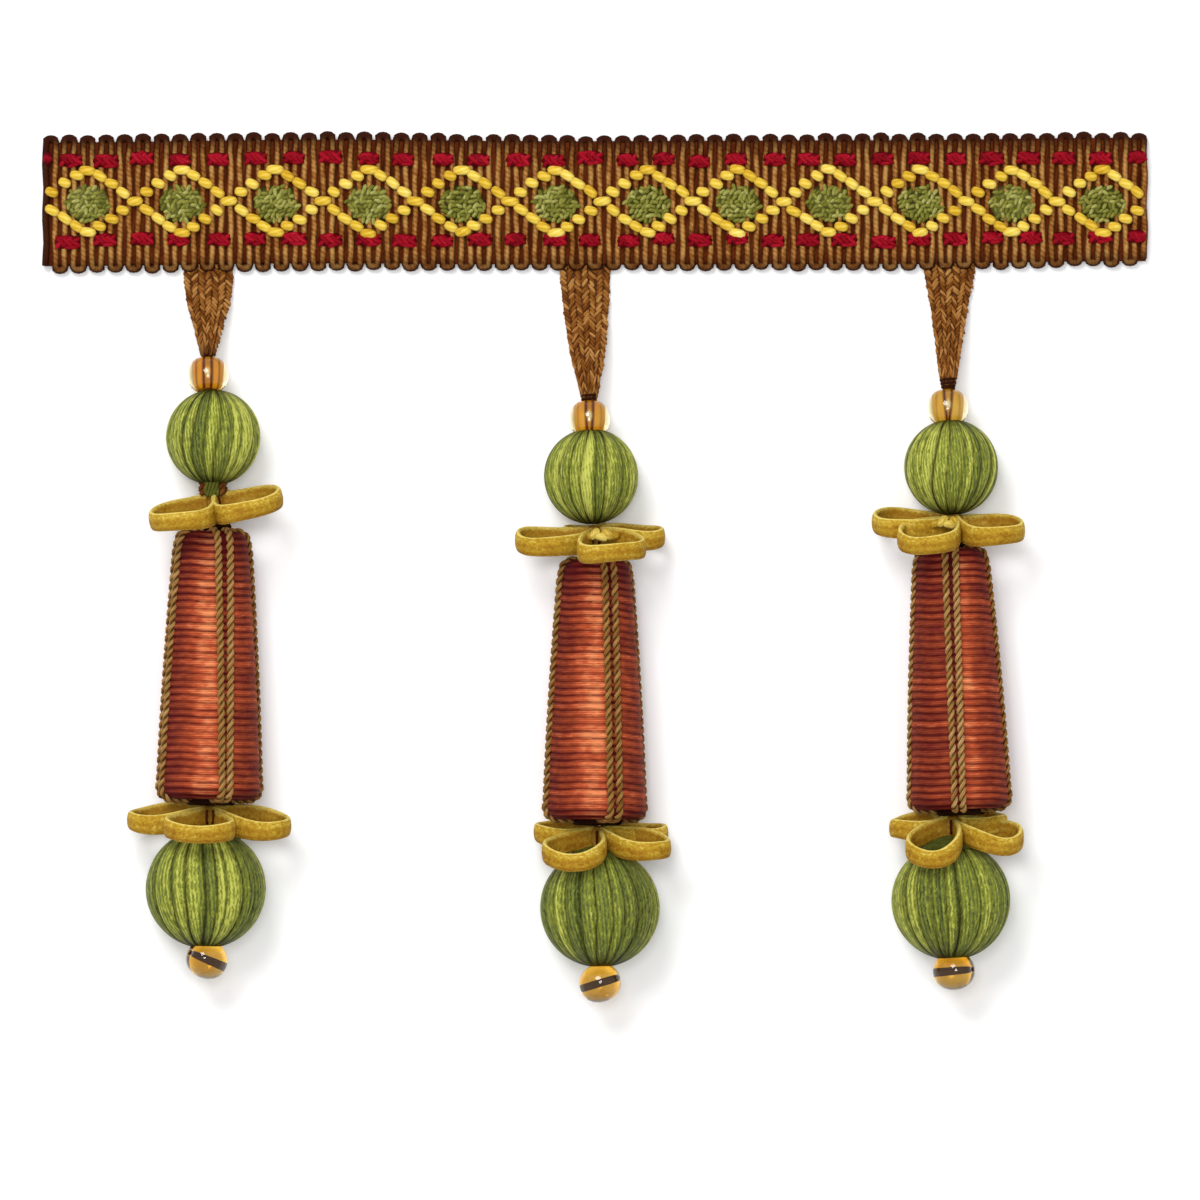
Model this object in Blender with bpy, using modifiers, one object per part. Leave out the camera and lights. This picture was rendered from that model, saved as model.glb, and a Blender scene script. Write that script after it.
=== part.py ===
"""Tassel fringe trim: a cut length of woven gimp braid with three wound drop ornaments.

The trim lies face up on a flat surface. The band runs along X with its flat back at z = 0
and its face towards +Z, and the three drops run from its lower edge towards -Y.
The origin is the centre of the band's flat back. Lengths are metres, and the tables are
in millimetres, which MM turns into metres.
"""

import math

import bmesh
import bpy
import numpy as np
from mathutils import Matrix, Vector

MM = 0.001
# Clearance between pieces that touch on the real trim
GAP = 0.3 * MM

# Band: weft cords packed over the warp, 120 ribs, whose hairpin turns scallop both edges
RIBS = 120
RIB_PITCH = 1.014 * MM
BAND_LENGTH = RIBS * RIB_PITCH
BAND_HALF_WIDTH = 7.15 * MM
RIB_CREST = 1.7 * MM
RIB_VALLEY = 1.4 * MM
EDGE_HEIGHT = 0.6 * MM
EDGE_ROUND = 0.5 * MM
BACK_ROUND = 0.35 * MM
SCALLOP_DEPTH = 0.35 * MM
SCALLOP_STATIONS = 4
# Each row: place along the band, shift of the upper edge, shift of the lower edge
EDGE_DRIFT = (
    (-60.8, 0.0, -0.3),
    (-30.0, 0.0, 0.0),
    (-3.0, -0.4, 0.0),
    (30.0, 0.0, 0.05),
    (60.8, -0.1, 0.6),
)

# Diamond figure: two stitched cords that cross every ten ribs, twelve diamonds in all
DIAMONDS = 12
DIAMOND_PITCH = BAND_LENGTH / DIAMONDS
DIAMOND_HEIGHT = 3.35 * MM
FIGURE_CENTRE_Y = 0.3 * MM
FIGURE_HALF_CORD = 0.53 * MM
FIGURE_THICKNESS = 0.5 * MM
FIGURE_END_INSET = 0.1 * MM

# Tabs: flat-braided ribbon, sewn under the band and gathered to a round point
TAB_POCKET_END = -4.3 * MM
TAB_TUCK_END = -4.6 * MM
POCKET_MOUTH = -BAND_HALF_WIDTH - 2 * MM

# Glass barrel beads
BEAD_HOLE = 0.7 * MM
BEAD_LIP = 0.3 * MM
BEAD_LIP_DEPTH = 0.1 * MM
BEAD_EDGE = 0.5 * MM
BEAD_EDGE_DEPTH = 0.8 * MM
BEAD_STEPS = 14
THREAD_RADIUS = BEAD_HOLE - GAP

# Wound balls: floss laid from pole to pole over a round core
BALL_LOBES = 16
BALL_BANDS = 9
LOBE_DEPTH = 0.3 * MM
BALL_FLAT = 0.08 * MM

# Wound cones: cord wound round a truncated cone with rounded shoulders
CONE_STEPS = 24
SHOULDER = 1.3 * MM
CONE_CROWN = 0.15 * MM
SHOULDER_ARC = (0.0, 45.0, 90.0)
SIDE_FRACTIONS = (0.1, 0.5, 0.9)

# Lengthwise cords: four hairpins of twisted cord on each cone, tucked in at both ends
CORD_RADIUS = 0.4 * MM
CORD_OFFSET = GAP + CORD_RADIUS
CORD_PROUD = GAP + 2 * CORD_RADIUS
TUCK_BOTTOM = 1.2 * MM
HALF_TURN = (45.0, 90.0, 135.0)

# Rosettes: four loops of flat tape round a stitched centre
TAPE_WIDTH = 2.2 * MM
TAPE_THICKNESS = 0.8 * MM
HUB_RADIUS = 1.3 * MM
LOOP_ROOT = 1.7 * MM
LOOP_POINTS = 16
HOLE_POINTS = 12
# Height of the teardrop formula at its fullest, which scales a loop to its width
TEARDROP_FULLEST = 0.77

# One entry for each drop, in millimetres: x and y of each piece, from the band downwards.
# Tab rows are (x, y, z of the middle, width, thickness). A cord pair is (turn, spread):
# the turn is in degrees from straight up towards +X, and the spread is between the cords.
DROPS = {
    "left": {
        "tab": (
            (-42.5, -7.4, 0.28, 5.3, 0.55),
            (-42.5, -10.7, 1.0, 4.8, 0.8),
            (-42.5, -12.9, 2.0, 3.5, 1.2),
            (-42.5, -16.6, 3.6, 2.2, 1.8),
        ),
        "upper_bead": {"x": -42.45, "top": -16.9, "bottom": -20.2, "radius": 2.1},
        "small_ball": {"x": -42.1, "y": -25.7, "radius": 5.12, "polar": 5.1},
        "neck": {"x": -41.9, "top": -31.1, "bottom": -31.75, "radius": 1.7},
        "upper_rosette": {"x": -41.6, "y": -33.35, "tilt": 10.0},
        "cone": {"x_top": -41.9, "x_bottom": -42.25, "top": -35.75, "bottom": -66.0,
                 "radius_top": 4.3, "radius_bottom": 6.05},
        "cord_pairs": ((19.0, 1.5), (109.0, 1.5), (199.0, 1.5), (284.0, 1.2)),
        "lower_rosette": {"x": -42.25, "y": -67.5, "tilt": 0.0},
        "big_ball": {"x": -42.8, "y": -75.3, "radius": 6.6, "polar": 6.4},
        "end_bead": {"x": -42.5, "top": -82.05, "bottom": -85.6, "radius": 2.15},
    },
    "middle": {
        "tab": (
            (-1.1, -7.4, 0.28, 5.5, 0.55),
            (-1.0, -11.5, 0.9, 4.9, 0.7),
            (-0.85, -16.2, 2.5, 3.8, 1.1),
            (-0.7, -19.5, 3.5, 2.7, 1.5),
            (-0.65, -21.1, 3.9, 2.4, 1.9),
        ),
        "upper_bead": {"x": -0.6, "top": -21.4, "bottom": -24.5, "radius": 2.1},
        "small_ball": {"x": -0.3, "y": -29.95, "radius": 5.12, "polar": 5.1},
        "upper_rosette": {"x": 0.0, "y": -36.9, "tilt": 0.0},
        "cone": {"x_top": 0.1, "x_bottom": -0.1, "top": -38.85, "bottom": -68.2,
                 "radius_top": 4.2, "radius_bottom": 5.78},
        "cord_pairs": ((24.0, 1.05), (112.0, 1.05), (204.0, 1.05), (276.0, 1.05)),
        "lower_rosette": {"x": 0.45, "y": -69.75, "tilt": 0.0},
        "big_ball": {"x": 0.55, "y": -77.55, "radius": 6.55, "polar": 6.35},
        "end_bead": {"x": 0.55, "top": -84.2, "bottom": -87.8, "radius": 2.15},
    },
    "right": {
        "tab": (
            (38.95, -7.4, 0.28, 5.5, 0.55),
            (38.9, -11.5, 1.0, 4.0, 0.9),
            (38.8, -16.2, 2.6, 2.7, 1.4),
            (38.75, -20.0, 3.8, 2.3, 1.9),
        ),
        "upper_bead": {"x": 38.7, "top": -20.3, "bottom": -23.35, "radius": 2.1},
        "small_ball": {"x": 39.15, "y": -28.8, "radius": 5.17, "polar": 5.1},
        "upper_rosette": {"x": 39.5, "y": -35.5, "tilt": 0.0},
        "cone": {"x_top": 38.95, "x_bottom": 39.9, "top": -37.65, "bottom": -67.1,
                 "radius_top": 4.25, "radius_bottom": 5.82},
        "cord_pairs": ((-1.0, 1.2), (90.0, 1.05), (179.0, 1.05), (269.0, 1.05)),
        "lower_rosette": {"x": 39.2, "y": -68.6, "tilt": 0.0},
        "big_ball": {"x": 39.2, "y": -76.4, "radius": 6.5, "polar": 6.35},
        "end_bead": {"x": 39.3, "top": -83.05, "bottom": -86.6, "radius": 2.15},
    },
}

# Loops of each rosette: (turn from +X towards straight up in degrees, length, width, droop
# of the tip down the drop), lengths in millimetres
LOOPS = {
    ("left", "upper"): ((48, 8.8, 7.4, 1.0), (132, 9.0, 7.4, 1.0),
                        (222, 6.0, 5.0, 0.4), (318, 6.0, 5.0, 0.4)),
    ("left", "lower"): ((99, 9.0, 7.9, 1.6), (9, 9.1, 6.6, 1.0),
                        (189, 9.1, 6.6, 0.9), (279, 5.6, 5.4, 0.4)),
    ("middle", "upper"): ((71, 8.6, 7.7, 1.5), (161, 9.1, 6.2, 0.4),
                          (341, 8.0, 5.4, 0.4), (251, 5.2, 5.2, 0.3)),
    ("middle", "lower"): ((123, 8.2, 7.2, 2.7), (33, 8.4, 6.2, 0.3),
                          (213, 8.0, 5.6, 0.2), (318, 7.4, 5.0, 1.0)),
    ("right", "upper"): ((125, 8.6, 6.8, 1.9), (35, 8.6, 6.6, 0.5),
                         (198, 9.2, 6.2, 0.4), (282, 5.2, 5.0, 0.3)),
    ("right", "lower"): ((110, 8.8, 6.8, 3.6), (25, 8.8, 6.8, 1.6),
                         (200, 7.0, 5.6, 0.4), (325, 6.8, 5.2, 0.0)),
}

# Colours of the yarns and the glass, as read off a screen from 0 to 255
COLOURS = {
    "band_weft": ((132, 84, 44), 0.85),
    "diamond_cord": ((217, 180, 84), 0.7),
    "tab_braid": ((150, 98, 50), 0.75),
    "amber_glass": ((190, 120, 40), 0.12),
    "thread": ((96, 62, 34), 0.85),
    "green_floss": ((130, 135, 61), 0.5),
    "gold_tape": ((200, 162, 60), 0.7),
    "red_winding": ((176, 66, 44), 0.5),
    "twisted_cord": ((150, 98, 52), 0.65),
}


def clear_scene():
    """Remove every object that the open file holds."""
    for old in list(bpy.data.objects):
        bpy.data.objects.remove(old, do_unlink=True)


def new_collection(name):
    """A collection of the scene with the given name."""
    made = bpy.data.collections.new(name)
    bpy.context.scene.collection.children.link(made)
    return made


def linear(level):
    """A screen level from 0 to 255 as a linear colour value."""
    share = level / 255
    if share <= 0.04045:
        return share / 12.92
    return ((share + 0.055) / 1.055) ** 2.4


def make_material(name):
    """A plain Principled material with the colour and roughness of one yarn or glass."""
    levels, roughness = COLOURS[name]
    made = bpy.data.materials.new(name)
    made.use_nodes = True
    shader = made.node_tree.nodes["Principled BSDF"]
    shader.inputs["Base Color"].default_value = [linear(level) for level in levels] + [1.0]
    shader.inputs["Roughness"].default_value = roughness
    shader.inputs["Metallic"].default_value = 0.0
    return made


def add_object(name, data, material, collection):
    """An object that holds the given mesh or curve, in one collection."""
    made = bpy.data.objects.new(name, data)
    made.data.materials.append(material)
    collection.objects.link(made)
    return made


def mesh_from(name, bm):
    """A mesh made from a bmesh, with its faces turned outwards and shaded smooth."""
    bmesh.ops.recalc_face_normals(bm, faces=bm.faces[:])
    data = bpy.data.meshes.new(name)
    bm.to_mesh(data)
    bm.free()
    data.shade_smooth()
    data.set_sharp_from_angle(angle=math.radians(50))
    return data


def loft(name, sections):
    """A closed skin over rings of points: quads between the rings and a cap at each end."""
    bm = bmesh.new()
    rings = [[bm.verts.new(point) for point in section] for section in sections]
    count = len(rings[0])
    for here, there in zip(rings, rings[1:]):
        for index in range(count):
            after = (index + 1) % count
            bm.faces.new((here[index], here[after], there[after], there[index]))
    bm.faces.new(rings[0])
    bm.faces.new(rings[-1])
    return mesh_from(name, bm)


def settle(obj, centre, turn):
    """Put an object at a centre with a 3 by 3 turn."""
    obj.matrix_world = Matrix.Translation(centre) @ turn.to_4x4()


def eased(value, places, levels):
    """The level at a value between a table's places, with level ease at each row."""
    index = int(np.clip(np.searchsorted(places, value) - 1, 0, len(places) - 2))
    span = places[index + 1] - places[index]
    share = min(max((value - places[index]) / span, 0.0), 1.0)
    blend = share * share * (3 - 2 * share)
    return levels[index] + (levels[index + 1] - levels[index]) * blend


def band_section(station):
    """The band's outline across its length at one half-rib station."""
    x = -BAND_LENGTH / 2 + station * RIB_PITCH / 2
    places, upper_drift, lower_drift = np.array(EDGE_DRIFT).transpose() * MM
    phase = math.cos(2 * math.pi * station / SCALLOP_STATIONS)
    notch = SCALLOP_DEPTH * (1 + phase) / 2
    upper = BAND_HALF_WIDTH + eased(x, places, upper_drift) - notch
    lower = -BAND_HALF_WIDTH + eased(x, places, lower_drift) + notch
    top = RIB_CREST if station % 2 else RIB_VALLEY
    return (
        (x, lower + BACK_ROUND, 0.0),
        (x, lower, EDGE_HEIGHT),
        (x, lower + EDGE_ROUND, top),
        (x, upper - EDGE_ROUND, top),
        (x, upper, EDGE_HEIGHT),
        (x, upper - BACK_ROUND, 0.0),
    )


def cut_with(target, cutter):
    """Subtract a cutter from a piece."""
    cut = target.modifiers.new("pocket", "BOOLEAN")
    cut.operation = "DIFFERENCE"
    cut.solver = "EXACT"
    cut.object = cutter


def add_band(parts, cutters, material):
    """The ribbed band, with a shallow pocket in its back for each tab."""
    sections = [band_section(station) for station in range(2 * RIBS + 1)]
    band = add_object("band", loft("band", sections), material, parts)
    for side, drop in DROPS.items():
        x, _, _, width, thickness = drop["tab"][0]
        reach = TAB_POCKET_END - POCKET_MOUTH
        size = Vector((width * MM + 2 * GAP, reach, 2 * (thickness * MM + GAP)))
        bm = bmesh.new()
        bmesh.ops.create_cube(bm, size=1.0, matrix=Matrix.Diagonal(size.to_4d()))
        cutter = add_object(f"pocket_{side}", mesh_from(f"pocket_{side}", bm), material, cutters)
        cutter.location = (x * MM, (TAB_POCKET_END + POCKET_MOUTH) / 2, 0.0)
        cut_with(band, cutter)


def add_spline(curve, points):
    """A closed straight-sided outline in a flat curve."""
    spline = curve.splines.new("POLY")
    spline.points.add(len(points) - 1)
    for point, (x, y) in zip(spline.points, points):
        point.co = (x, y, 0.0, 1.0)
    spline.use_cyclic_u = True


def flat_curve(name, outlines, thickness):
    """A filled flat curve of outlines and their holes, extruded evenly to a thickness."""
    curve = bpy.data.curves.new(name, "CURVE")
    curve.dimensions = "2D"
    curve.fill_mode = "BOTH"
    curve.extrude = thickness / 2
    for outline in outlines:
        add_spline(curve, outline)
    return curve


def figure_outlines():
    """The outer outline of the diamond chain and the twelve diamond holes in it."""
    start = -BAND_LENGTH / 2
    upper = [(start + FIGURE_END_INSET, FIGURE_HALF_CORD)]
    for index in range(DIAMONDS):
        left = start + index * DIAMOND_PITCH
        upper.append((left + DIAMOND_PITCH / 2, DIAMOND_HEIGHT + FIGURE_HALF_CORD))
        upper.append((left + DIAMOND_PITCH, FIGURE_HALF_CORD))
    upper[-1] = (-start - FIGURE_END_INSET, FIGURE_HALF_CORD)
    outer = upper + [(x, -y) for x, y in reversed(upper)]
    inset = FIGURE_HALF_CORD * DIAMOND_PITCH / 2 / DIAMOND_HEIGHT
    holes = []
    for index in range(DIAMONDS):
        left = start + index * DIAMOND_PITCH
        middle = left + DIAMOND_PITCH / 2
        peak = DIAMOND_HEIGHT - FIGURE_HALF_CORD
        right = left + DIAMOND_PITCH
        holes.append([(left + inset, 0.0), (middle, peak), (right - inset, 0.0), (middle, -peak)])
    return [outer] + holes


def add_figure(parts, material):
    """The two crossing cords that draw the row of diamonds on the band's face."""
    curve = flat_curve("diamond_cord", figure_outlines(), FIGURE_THICKNESS)
    figure = add_object("diamond_cord", curve, material, parts)
    figure.location = (0.0, FIGURE_CENTRE_Y, RIB_CREST + GAP + FIGURE_THICKNESS / 2)


def ring_of(centre, across, up, width, thickness):
    """Eight points of a rounded flat section about a centre."""
    shape = ((-0.5, 0.0), (-0.4, -0.5), (0.0, -0.5), (0.4, -0.5),
             (0.5, 0.0), (0.4, 0.5), (0.0, 0.5), (-0.4, 0.5))
    return [centre + across * (a * width) + up * (b * thickness) for a, b in shape]


def add_tab(side, parts, material):
    """A ribbon tab: flat under the band's edge, rising and gathered towards the bead."""
    rows = DROPS[side]["tab"]
    x, _, z, width, thickness = rows[0]
    rows = ((x, TAB_TUCK_END / MM, z, width, thickness),) + rows
    centres = [Vector(row[:3]) * MM for row in rows]
    across = Vector((1.0, 0.0, 0.0))
    sections = []
    for index, row in enumerate(rows):
        before = centres[max(index - 1, 0)]
        after = centres[min(index + 1, len(rows) - 1)]
        along = (after - before).normalized()
        up = across.cross(-along).normalized()
        if index < 2:
            up = Vector((0.0, 0.0, 1.0))
        sections.append(ring_of(centres[index], across, up, row[3] * MM, row[4] * MM))
    add_object(f"tab_{side}", loft(f"tab_{side}", sections), material, parts)


def ball_height(ball):
    """The height of a ball's centre, which leaves a small flat spot on the surface."""
    return ball["radius"] * MM - BALL_FLAT


def drop_line(side):
    """The line of a drop through both balls: a point on it, its direction and its frame."""
    drop = DROPS[side]
    small = drop["small_ball"]
    big = drop["big_ball"]
    start = Vector((small["x"] * MM, small["y"] * MM, ball_height(small)))
    end = Vector((big["x"] * MM, big["y"] * MM, ball_height(big)))
    return start, end


def drop_point(side, x, y):
    """The centre of a piece at x and y in millimetres, at the height of its drop's line."""
    start, end = drop_line(side)
    share = (y * MM - start.y) / (end.y - start.y)
    return Vector((x * MM, y * MM, start.z + share * (end.z - start.z)))


def frame_along(down):
    """A turn whose Z points up the drop, whose X points right and whose Y points down."""
    z_axis = -down.normalized()
    x_axis = Vector((1.0, 0.0, 0.0))
    x_axis = (x_axis - z_axis * x_axis.dot(z_axis)).normalized()
    y_axis = z_axis.cross(x_axis)
    return Matrix((x_axis, y_axis, z_axis)).transposed()


def drop_turn(side):
    """The frame of a drop, from its small ball to its big ball."""
    start, end = drop_line(side)
    return frame_along(end - start)


def add_ball(side, size, parts, material):
    """A wound ball: a sphere whose floss lies in raised lobes from pole to pole."""
    ball = DROPS[side][f"{size}_ball"]
    radius = ball["radius"] * MM
    polar = ball["polar"] * MM
    centre = Vector((ball["x"] * MM, ball["y"] * MM, ball_height(ball)))
    turn = drop_turn(side)
    bm = bmesh.new()
    bmesh.ops.create_uvsphere(bm, u_segments=2 * BALL_LOBES, v_segments=BALL_BANDS, radius=1.0)
    for vert in bm.verts:
        azimuth = math.atan2(vert.co.y, vert.co.x)
        valley = (1 - math.cos(BALL_LOBES * azimuth)) / 2
        reach = radius - LOBE_DEPTH * valley
        vert.co = Vector((vert.co.x * reach, vert.co.y * reach, vert.co.z * polar))
        height = (turn @ vert.co).z + centre.z
        if height < 0.0:
            vert.co -= turn.transposed() @ Vector((0.0, 0.0, height))
    name = f"{size}_ball_{side}"
    settle(add_object(name, mesh_from(name, bm), material, parts), centre, turn)


def add_turned(name, profile, steps, closed, material, parts):
    """A turned piece: a profile of (radius, height) carried once round its own Z axis."""
    data = bpy.data.meshes.new(name)
    count = len(profile)
    edges = [(index, index + 1) for index in range(count - 1)]
    if closed:
        edges.append((count - 1, 0))
    data.from_pydata([(radius, 0.0, height) for radius, height in profile], edges, [])
    piece = add_object(name, data, material, parts)
    screw = piece.modifiers.new("turn", "SCREW")
    screw.steps = steps
    screw.render_steps = steps
    screw.use_merge_vertices = True
    screw.merge_threshold = 0.00001
    screw.use_smooth_shade = True
    return piece


def bead_profile(radius, height):
    """The section of a barrel bead: a hole wall and a bulging outer wall with soft edges."""
    half = height / 2
    return (
        (BEAD_HOLE, half - BEAD_LIP_DEPTH),
        (BEAD_HOLE + BEAD_LIP, half),
        (radius - BEAD_EDGE, half),
        (radius, half - BEAD_EDGE_DEPTH),
        (radius, -half + BEAD_EDGE_DEPTH),
        (radius - BEAD_EDGE, -half),
        (BEAD_HOLE + BEAD_LIP, -half),
        (BEAD_HOLE, -half + BEAD_LIP_DEPTH),
    )


def bead_place(side, which):
    """The centre, the height and the frame of a drop's upper or end bead."""
    drop = DROPS[side]
    bead = drop[f"{which}_bead"]
    height = (bead["top"] - bead["bottom"]) * MM
    middle = (bead["top"] + bead["bottom"]) / 2
    if which == "end":
        return drop_point(side, bead["x"], middle), height, drop_turn(side)
    knot = Vector(drop["tab"][-1][:3]) * MM
    ball = drop["small_ball"]
    pole = drop_point(side, ball["x"], ball["y"] + ball["polar"])
    share = (middle * MM - knot.y) / (pole.y - knot.y)
    centre = Vector((bead["x"] * MM, middle * MM, knot.z + share * (pole.z - knot.z)))
    return centre, height, frame_along(pole - knot)


def add_bead(side, which, parts, material):
    """A glass barrel bead with its hole along the drop."""
    centre, height, turn = bead_place(side, which)
    profile = bead_profile(DROPS[side][f"{which}_bead"]["radius"] * MM, height)
    name = f"{which}_bead_{side}"
    settle(add_turned(name, profile, BEAD_STEPS, True, material, parts), centre, turn)


def add_rod(name, centre, turn, radius_top, radius_bottom, length, material, parts):
    """A short straight length of thread or yarn, with twelve sides."""
    bm = bmesh.new()
    bmesh.ops.create_cone(bm, cap_ends=True, segments=12, radius1=radius_bottom,
                          radius2=radius_top, depth=length)
    rod = add_object(name, mesh_from(name, bm), material, parts)
    settle(rod, centre, turn)
    return rod


def add_thread(side, parts, material):
    """The thread that strings the upper bead and shows through its glass."""
    centre, height, turn = bead_place(side, "upper")
    add_rod(f"thread_{side}", centre, turn, THREAD_RADIUS, THREAD_RADIUS, height, material, parts)


def add_neck(side, parts, material):
    """The short neck of yarn that shows between the small ball and the rosette."""
    neck = DROPS[side]["neck"]
    centre = drop_point(side, neck["x"], (neck["top"] + neck["bottom"]) / 2)
    length = (neck["top"] - neck["bottom"]) * MM
    radius = neck["radius"] * MM
    add_rod(f"neck_{side}", centre, drop_turn(side), radius, 0.9 * radius, length, material, parts)


def cone_place(side):
    """The centre, the body length and the frame of a drop's cone."""
    cone = DROPS[side]["cone"]
    top = drop_point(side, cone["x_top"], cone["top"])
    bottom = drop_point(side, cone["x_bottom"], cone["bottom"])
    length = (bottom - top).length - 2 * CORD_PROUD
    return (top + bottom) / 2, length, frame_along(bottom - top)


def cone_wall(side, offset):
    """Points (radius, height) down a cone's wall, stood off its surface by an offset.

    A quarter arc turns each shoulder, and between them the radius grows evenly with a
    slight swell in the middle.
    """
    cone = DROPS[side]["cone"]
    _, length, _ = cone_place(side)
    top = cone["radius_top"] * MM - CORD_PROUD
    bottom = cone["radius_bottom"] * MM - CORD_PROUD
    half = length / 2

    def wall(share):
        return top + (bottom - top) * share + CONE_CROWN * math.sin(math.pi * share)

    points = []
    for angle in SHOULDER_ARC:
        swing = math.radians(angle)
        reach = SHOULDER + offset
        points.append((top - SHOULDER + reach * math.sin(swing),
                       half - SHOULDER + reach * math.cos(swing)))
    for share in SIDE_FRACTIONS:
        points.append((wall(share) + offset, half - length * share))
    for angle in reversed(SHOULDER_ARC):
        swing = math.radians(angle)
        reach = SHOULDER + offset
        points.append((bottom - SHOULDER + reach * math.sin(swing),
                       -half + SHOULDER - reach * math.cos(swing)))
    return points


def add_cone(side, parts, material):
    """The wound body of a cone, closed by flat caps."""
    centre, length, turn = cone_place(side)
    wall = cone_wall(side, 0.0)
    profile = [(0.0, length / 2)] + wall + [(0.0, -length / 2)]
    name = f"cone_{side}"
    settle(add_turned(name, profile, CONE_STEPS, False, material, parts), centre, turn)


def hairpin_route(side, turn_degrees, spread):
    """The route of one cord that runs down a cone, tucked in below, and back beside itself.

    It follows the cone's wall at an even distance: one run on each side of the pair's
    plane, joined by a half turn on the top cap.
    """
    wall = cone_wall(side, CORD_OFFSET)
    wall = wall + [(wall[-1][0] - TUCK_BOTTOM, wall[-1][1])]
    swing = math.radians(turn_degrees)
    outward = Vector((math.sin(swing), -math.cos(swing), 0.0))
    sideways = Vector((math.cos(swing), math.sin(swing), 0.0))
    half = spread / 2

    def run(shift):
        return [outward * radius + sideways * shift + Vector((0.0, 0.0, height))
                for radius, height in wall]

    radius, height = wall[0]
    half_turn = []
    for angle in HALF_TURN:
        bend = math.radians(angle)
        inward = radius - half * math.sin(bend)
        half_turn.append(outward * inward - sideways * (half * math.cos(bend))
                         + Vector((0.0, 0.0, height)))
    return run(-half)[::-1] + half_turn + run(half)


def add_cord_pairs(side, parts, material):
    """Four hairpins of twisted cord down a cone."""
    centre, _, turn = cone_place(side)
    for index, (degrees, spread) in enumerate(DROPS[side]["cord_pairs"], start=1):
        route = hairpin_route(side, degrees, spread * MM)
        curve = bpy.data.curves.new(f"cord_pair_{side}_{index}", "CURVE")
        curve.dimensions = "3D"
        curve.bevel_depth = CORD_RADIUS
        curve.bevel_resolution = 1
        curve.use_fill_caps = True
        spline = curve.splines.new("POLY")
        spline.points.add(len(route) - 1)
        for point, place in zip(spline.points, route):
            point.co = (*place, 1.0)
        cord = add_object(f"cord_pair_{side}_{index}", curve, material, parts)
        settle(cord, centre, turn)


def teardrop(start, length, width, count):
    """A loop's outline: pointed at its root, and widest two thirds of the way along."""
    points = []
    for index in range(count):
        swing = 2 * math.pi * index / count
        along = start + length * (1 - math.cos(swing)) / 2
        across = width / 2 * math.sin(swing) * abs(math.sin(swing / 2)) / TEARDROP_FULLEST
        points.append((along, across))
    return points


def add_loop(name, loop, centre, turn, material, cutters):
    """One loop of tape, as a mesh that a rosette's hub is joined with."""
    degrees, length, width, droop = loop
    length *= MM
    width *= MM
    outer = teardrop(0.0, length, width, LOOP_POINTS)
    hole = teardrop(LOOP_ROOT, length - TAPE_THICKNESS - LOOP_ROOT,
                    width - 2 * TAPE_THICKNESS, HOLE_POINTS)
    guide = add_object(name, flat_curve(name, (outer, hole), TAPE_WIDTH), material, cutters)
    evaluated = guide.evaluated_get(bpy.context.evaluated_depsgraph_get())
    data = bpy.data.meshes.new_from_object(evaluated)
    bpy.data.objects.remove(guide, do_unlink=True)
    bm = bmesh.new()
    bm.from_mesh(data)
    bmesh.ops.remove_doubles(bm, verts=bm.verts[:], dist=0.001 * MM)
    for vert in bm.verts:
        vert.co.z -= droop * MM * (vert.co.x / length) ** 2
    bm.to_mesh(data)
    bm.free()
    swing = math.radians(degrees)
    outward = Vector((math.cos(swing), -math.sin(swing), 0.0))
    sideways = Vector((math.sin(swing), math.cos(swing), 0.0))
    fan = Matrix((outward, sideways, Vector((0.0, 0.0, 1.0)))).transposed()
    made = bpy.data.objects.new(name, data)
    cutters.objects.link(made)
    settle(made, centre, turn @ fan)
    return made


def rosette_hub(side, which):
    """Where a rosette's hub begins and ends along the drop, in metres."""
    drop = DROPS[side]
    cone = drop["cone"]
    if which == "upper":
        ball = drop["small_ball"]
        above = (ball["y"] - ball["polar"]) * MM
        if "neck" in drop:
            above = drop["neck"]["bottom"] * MM
        return above - GAP, cone["top"] * MM + GAP
    ball = drop["big_ball"]
    return cone["bottom"] * MM - GAP, (ball["y"] + ball["polar"]) * MM + GAP


def add_rosette(side, which, parts, cutters, material):
    """A rosette: four drooping loops of tape joined to a short stitched hub."""
    rosette = DROPS[side][f"{which}_rosette"]
    name = f"{which}_rosette_{side}"
    turn = drop_turn(side)
    top, bottom = rosette_hub(side, which)
    hub_centre = drop_point(side, rosette["x"], (top + bottom) / 2 / MM)
    hub = add_rod(name, hub_centre, turn, HUB_RADIUS, HUB_RADIUS, top - bottom, material, parts)
    centre = drop_point(side, rosette["x"], rosette["y"])
    tilted = turn @ Matrix.Rotation(math.radians(-rosette["tilt"]), 3, "Y")
    for index, loop in enumerate(LOOPS[side, which], start=1):
        petal = add_loop(f"{name}_loop_{index}", loop, centre, tilted, material, cutters)
        join = hub.modifiers.new(f"loop_{index}", "BOOLEAN")
        join.operation = "UNION"
        join.solver = "EXACT"
        join.object = petal


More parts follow.
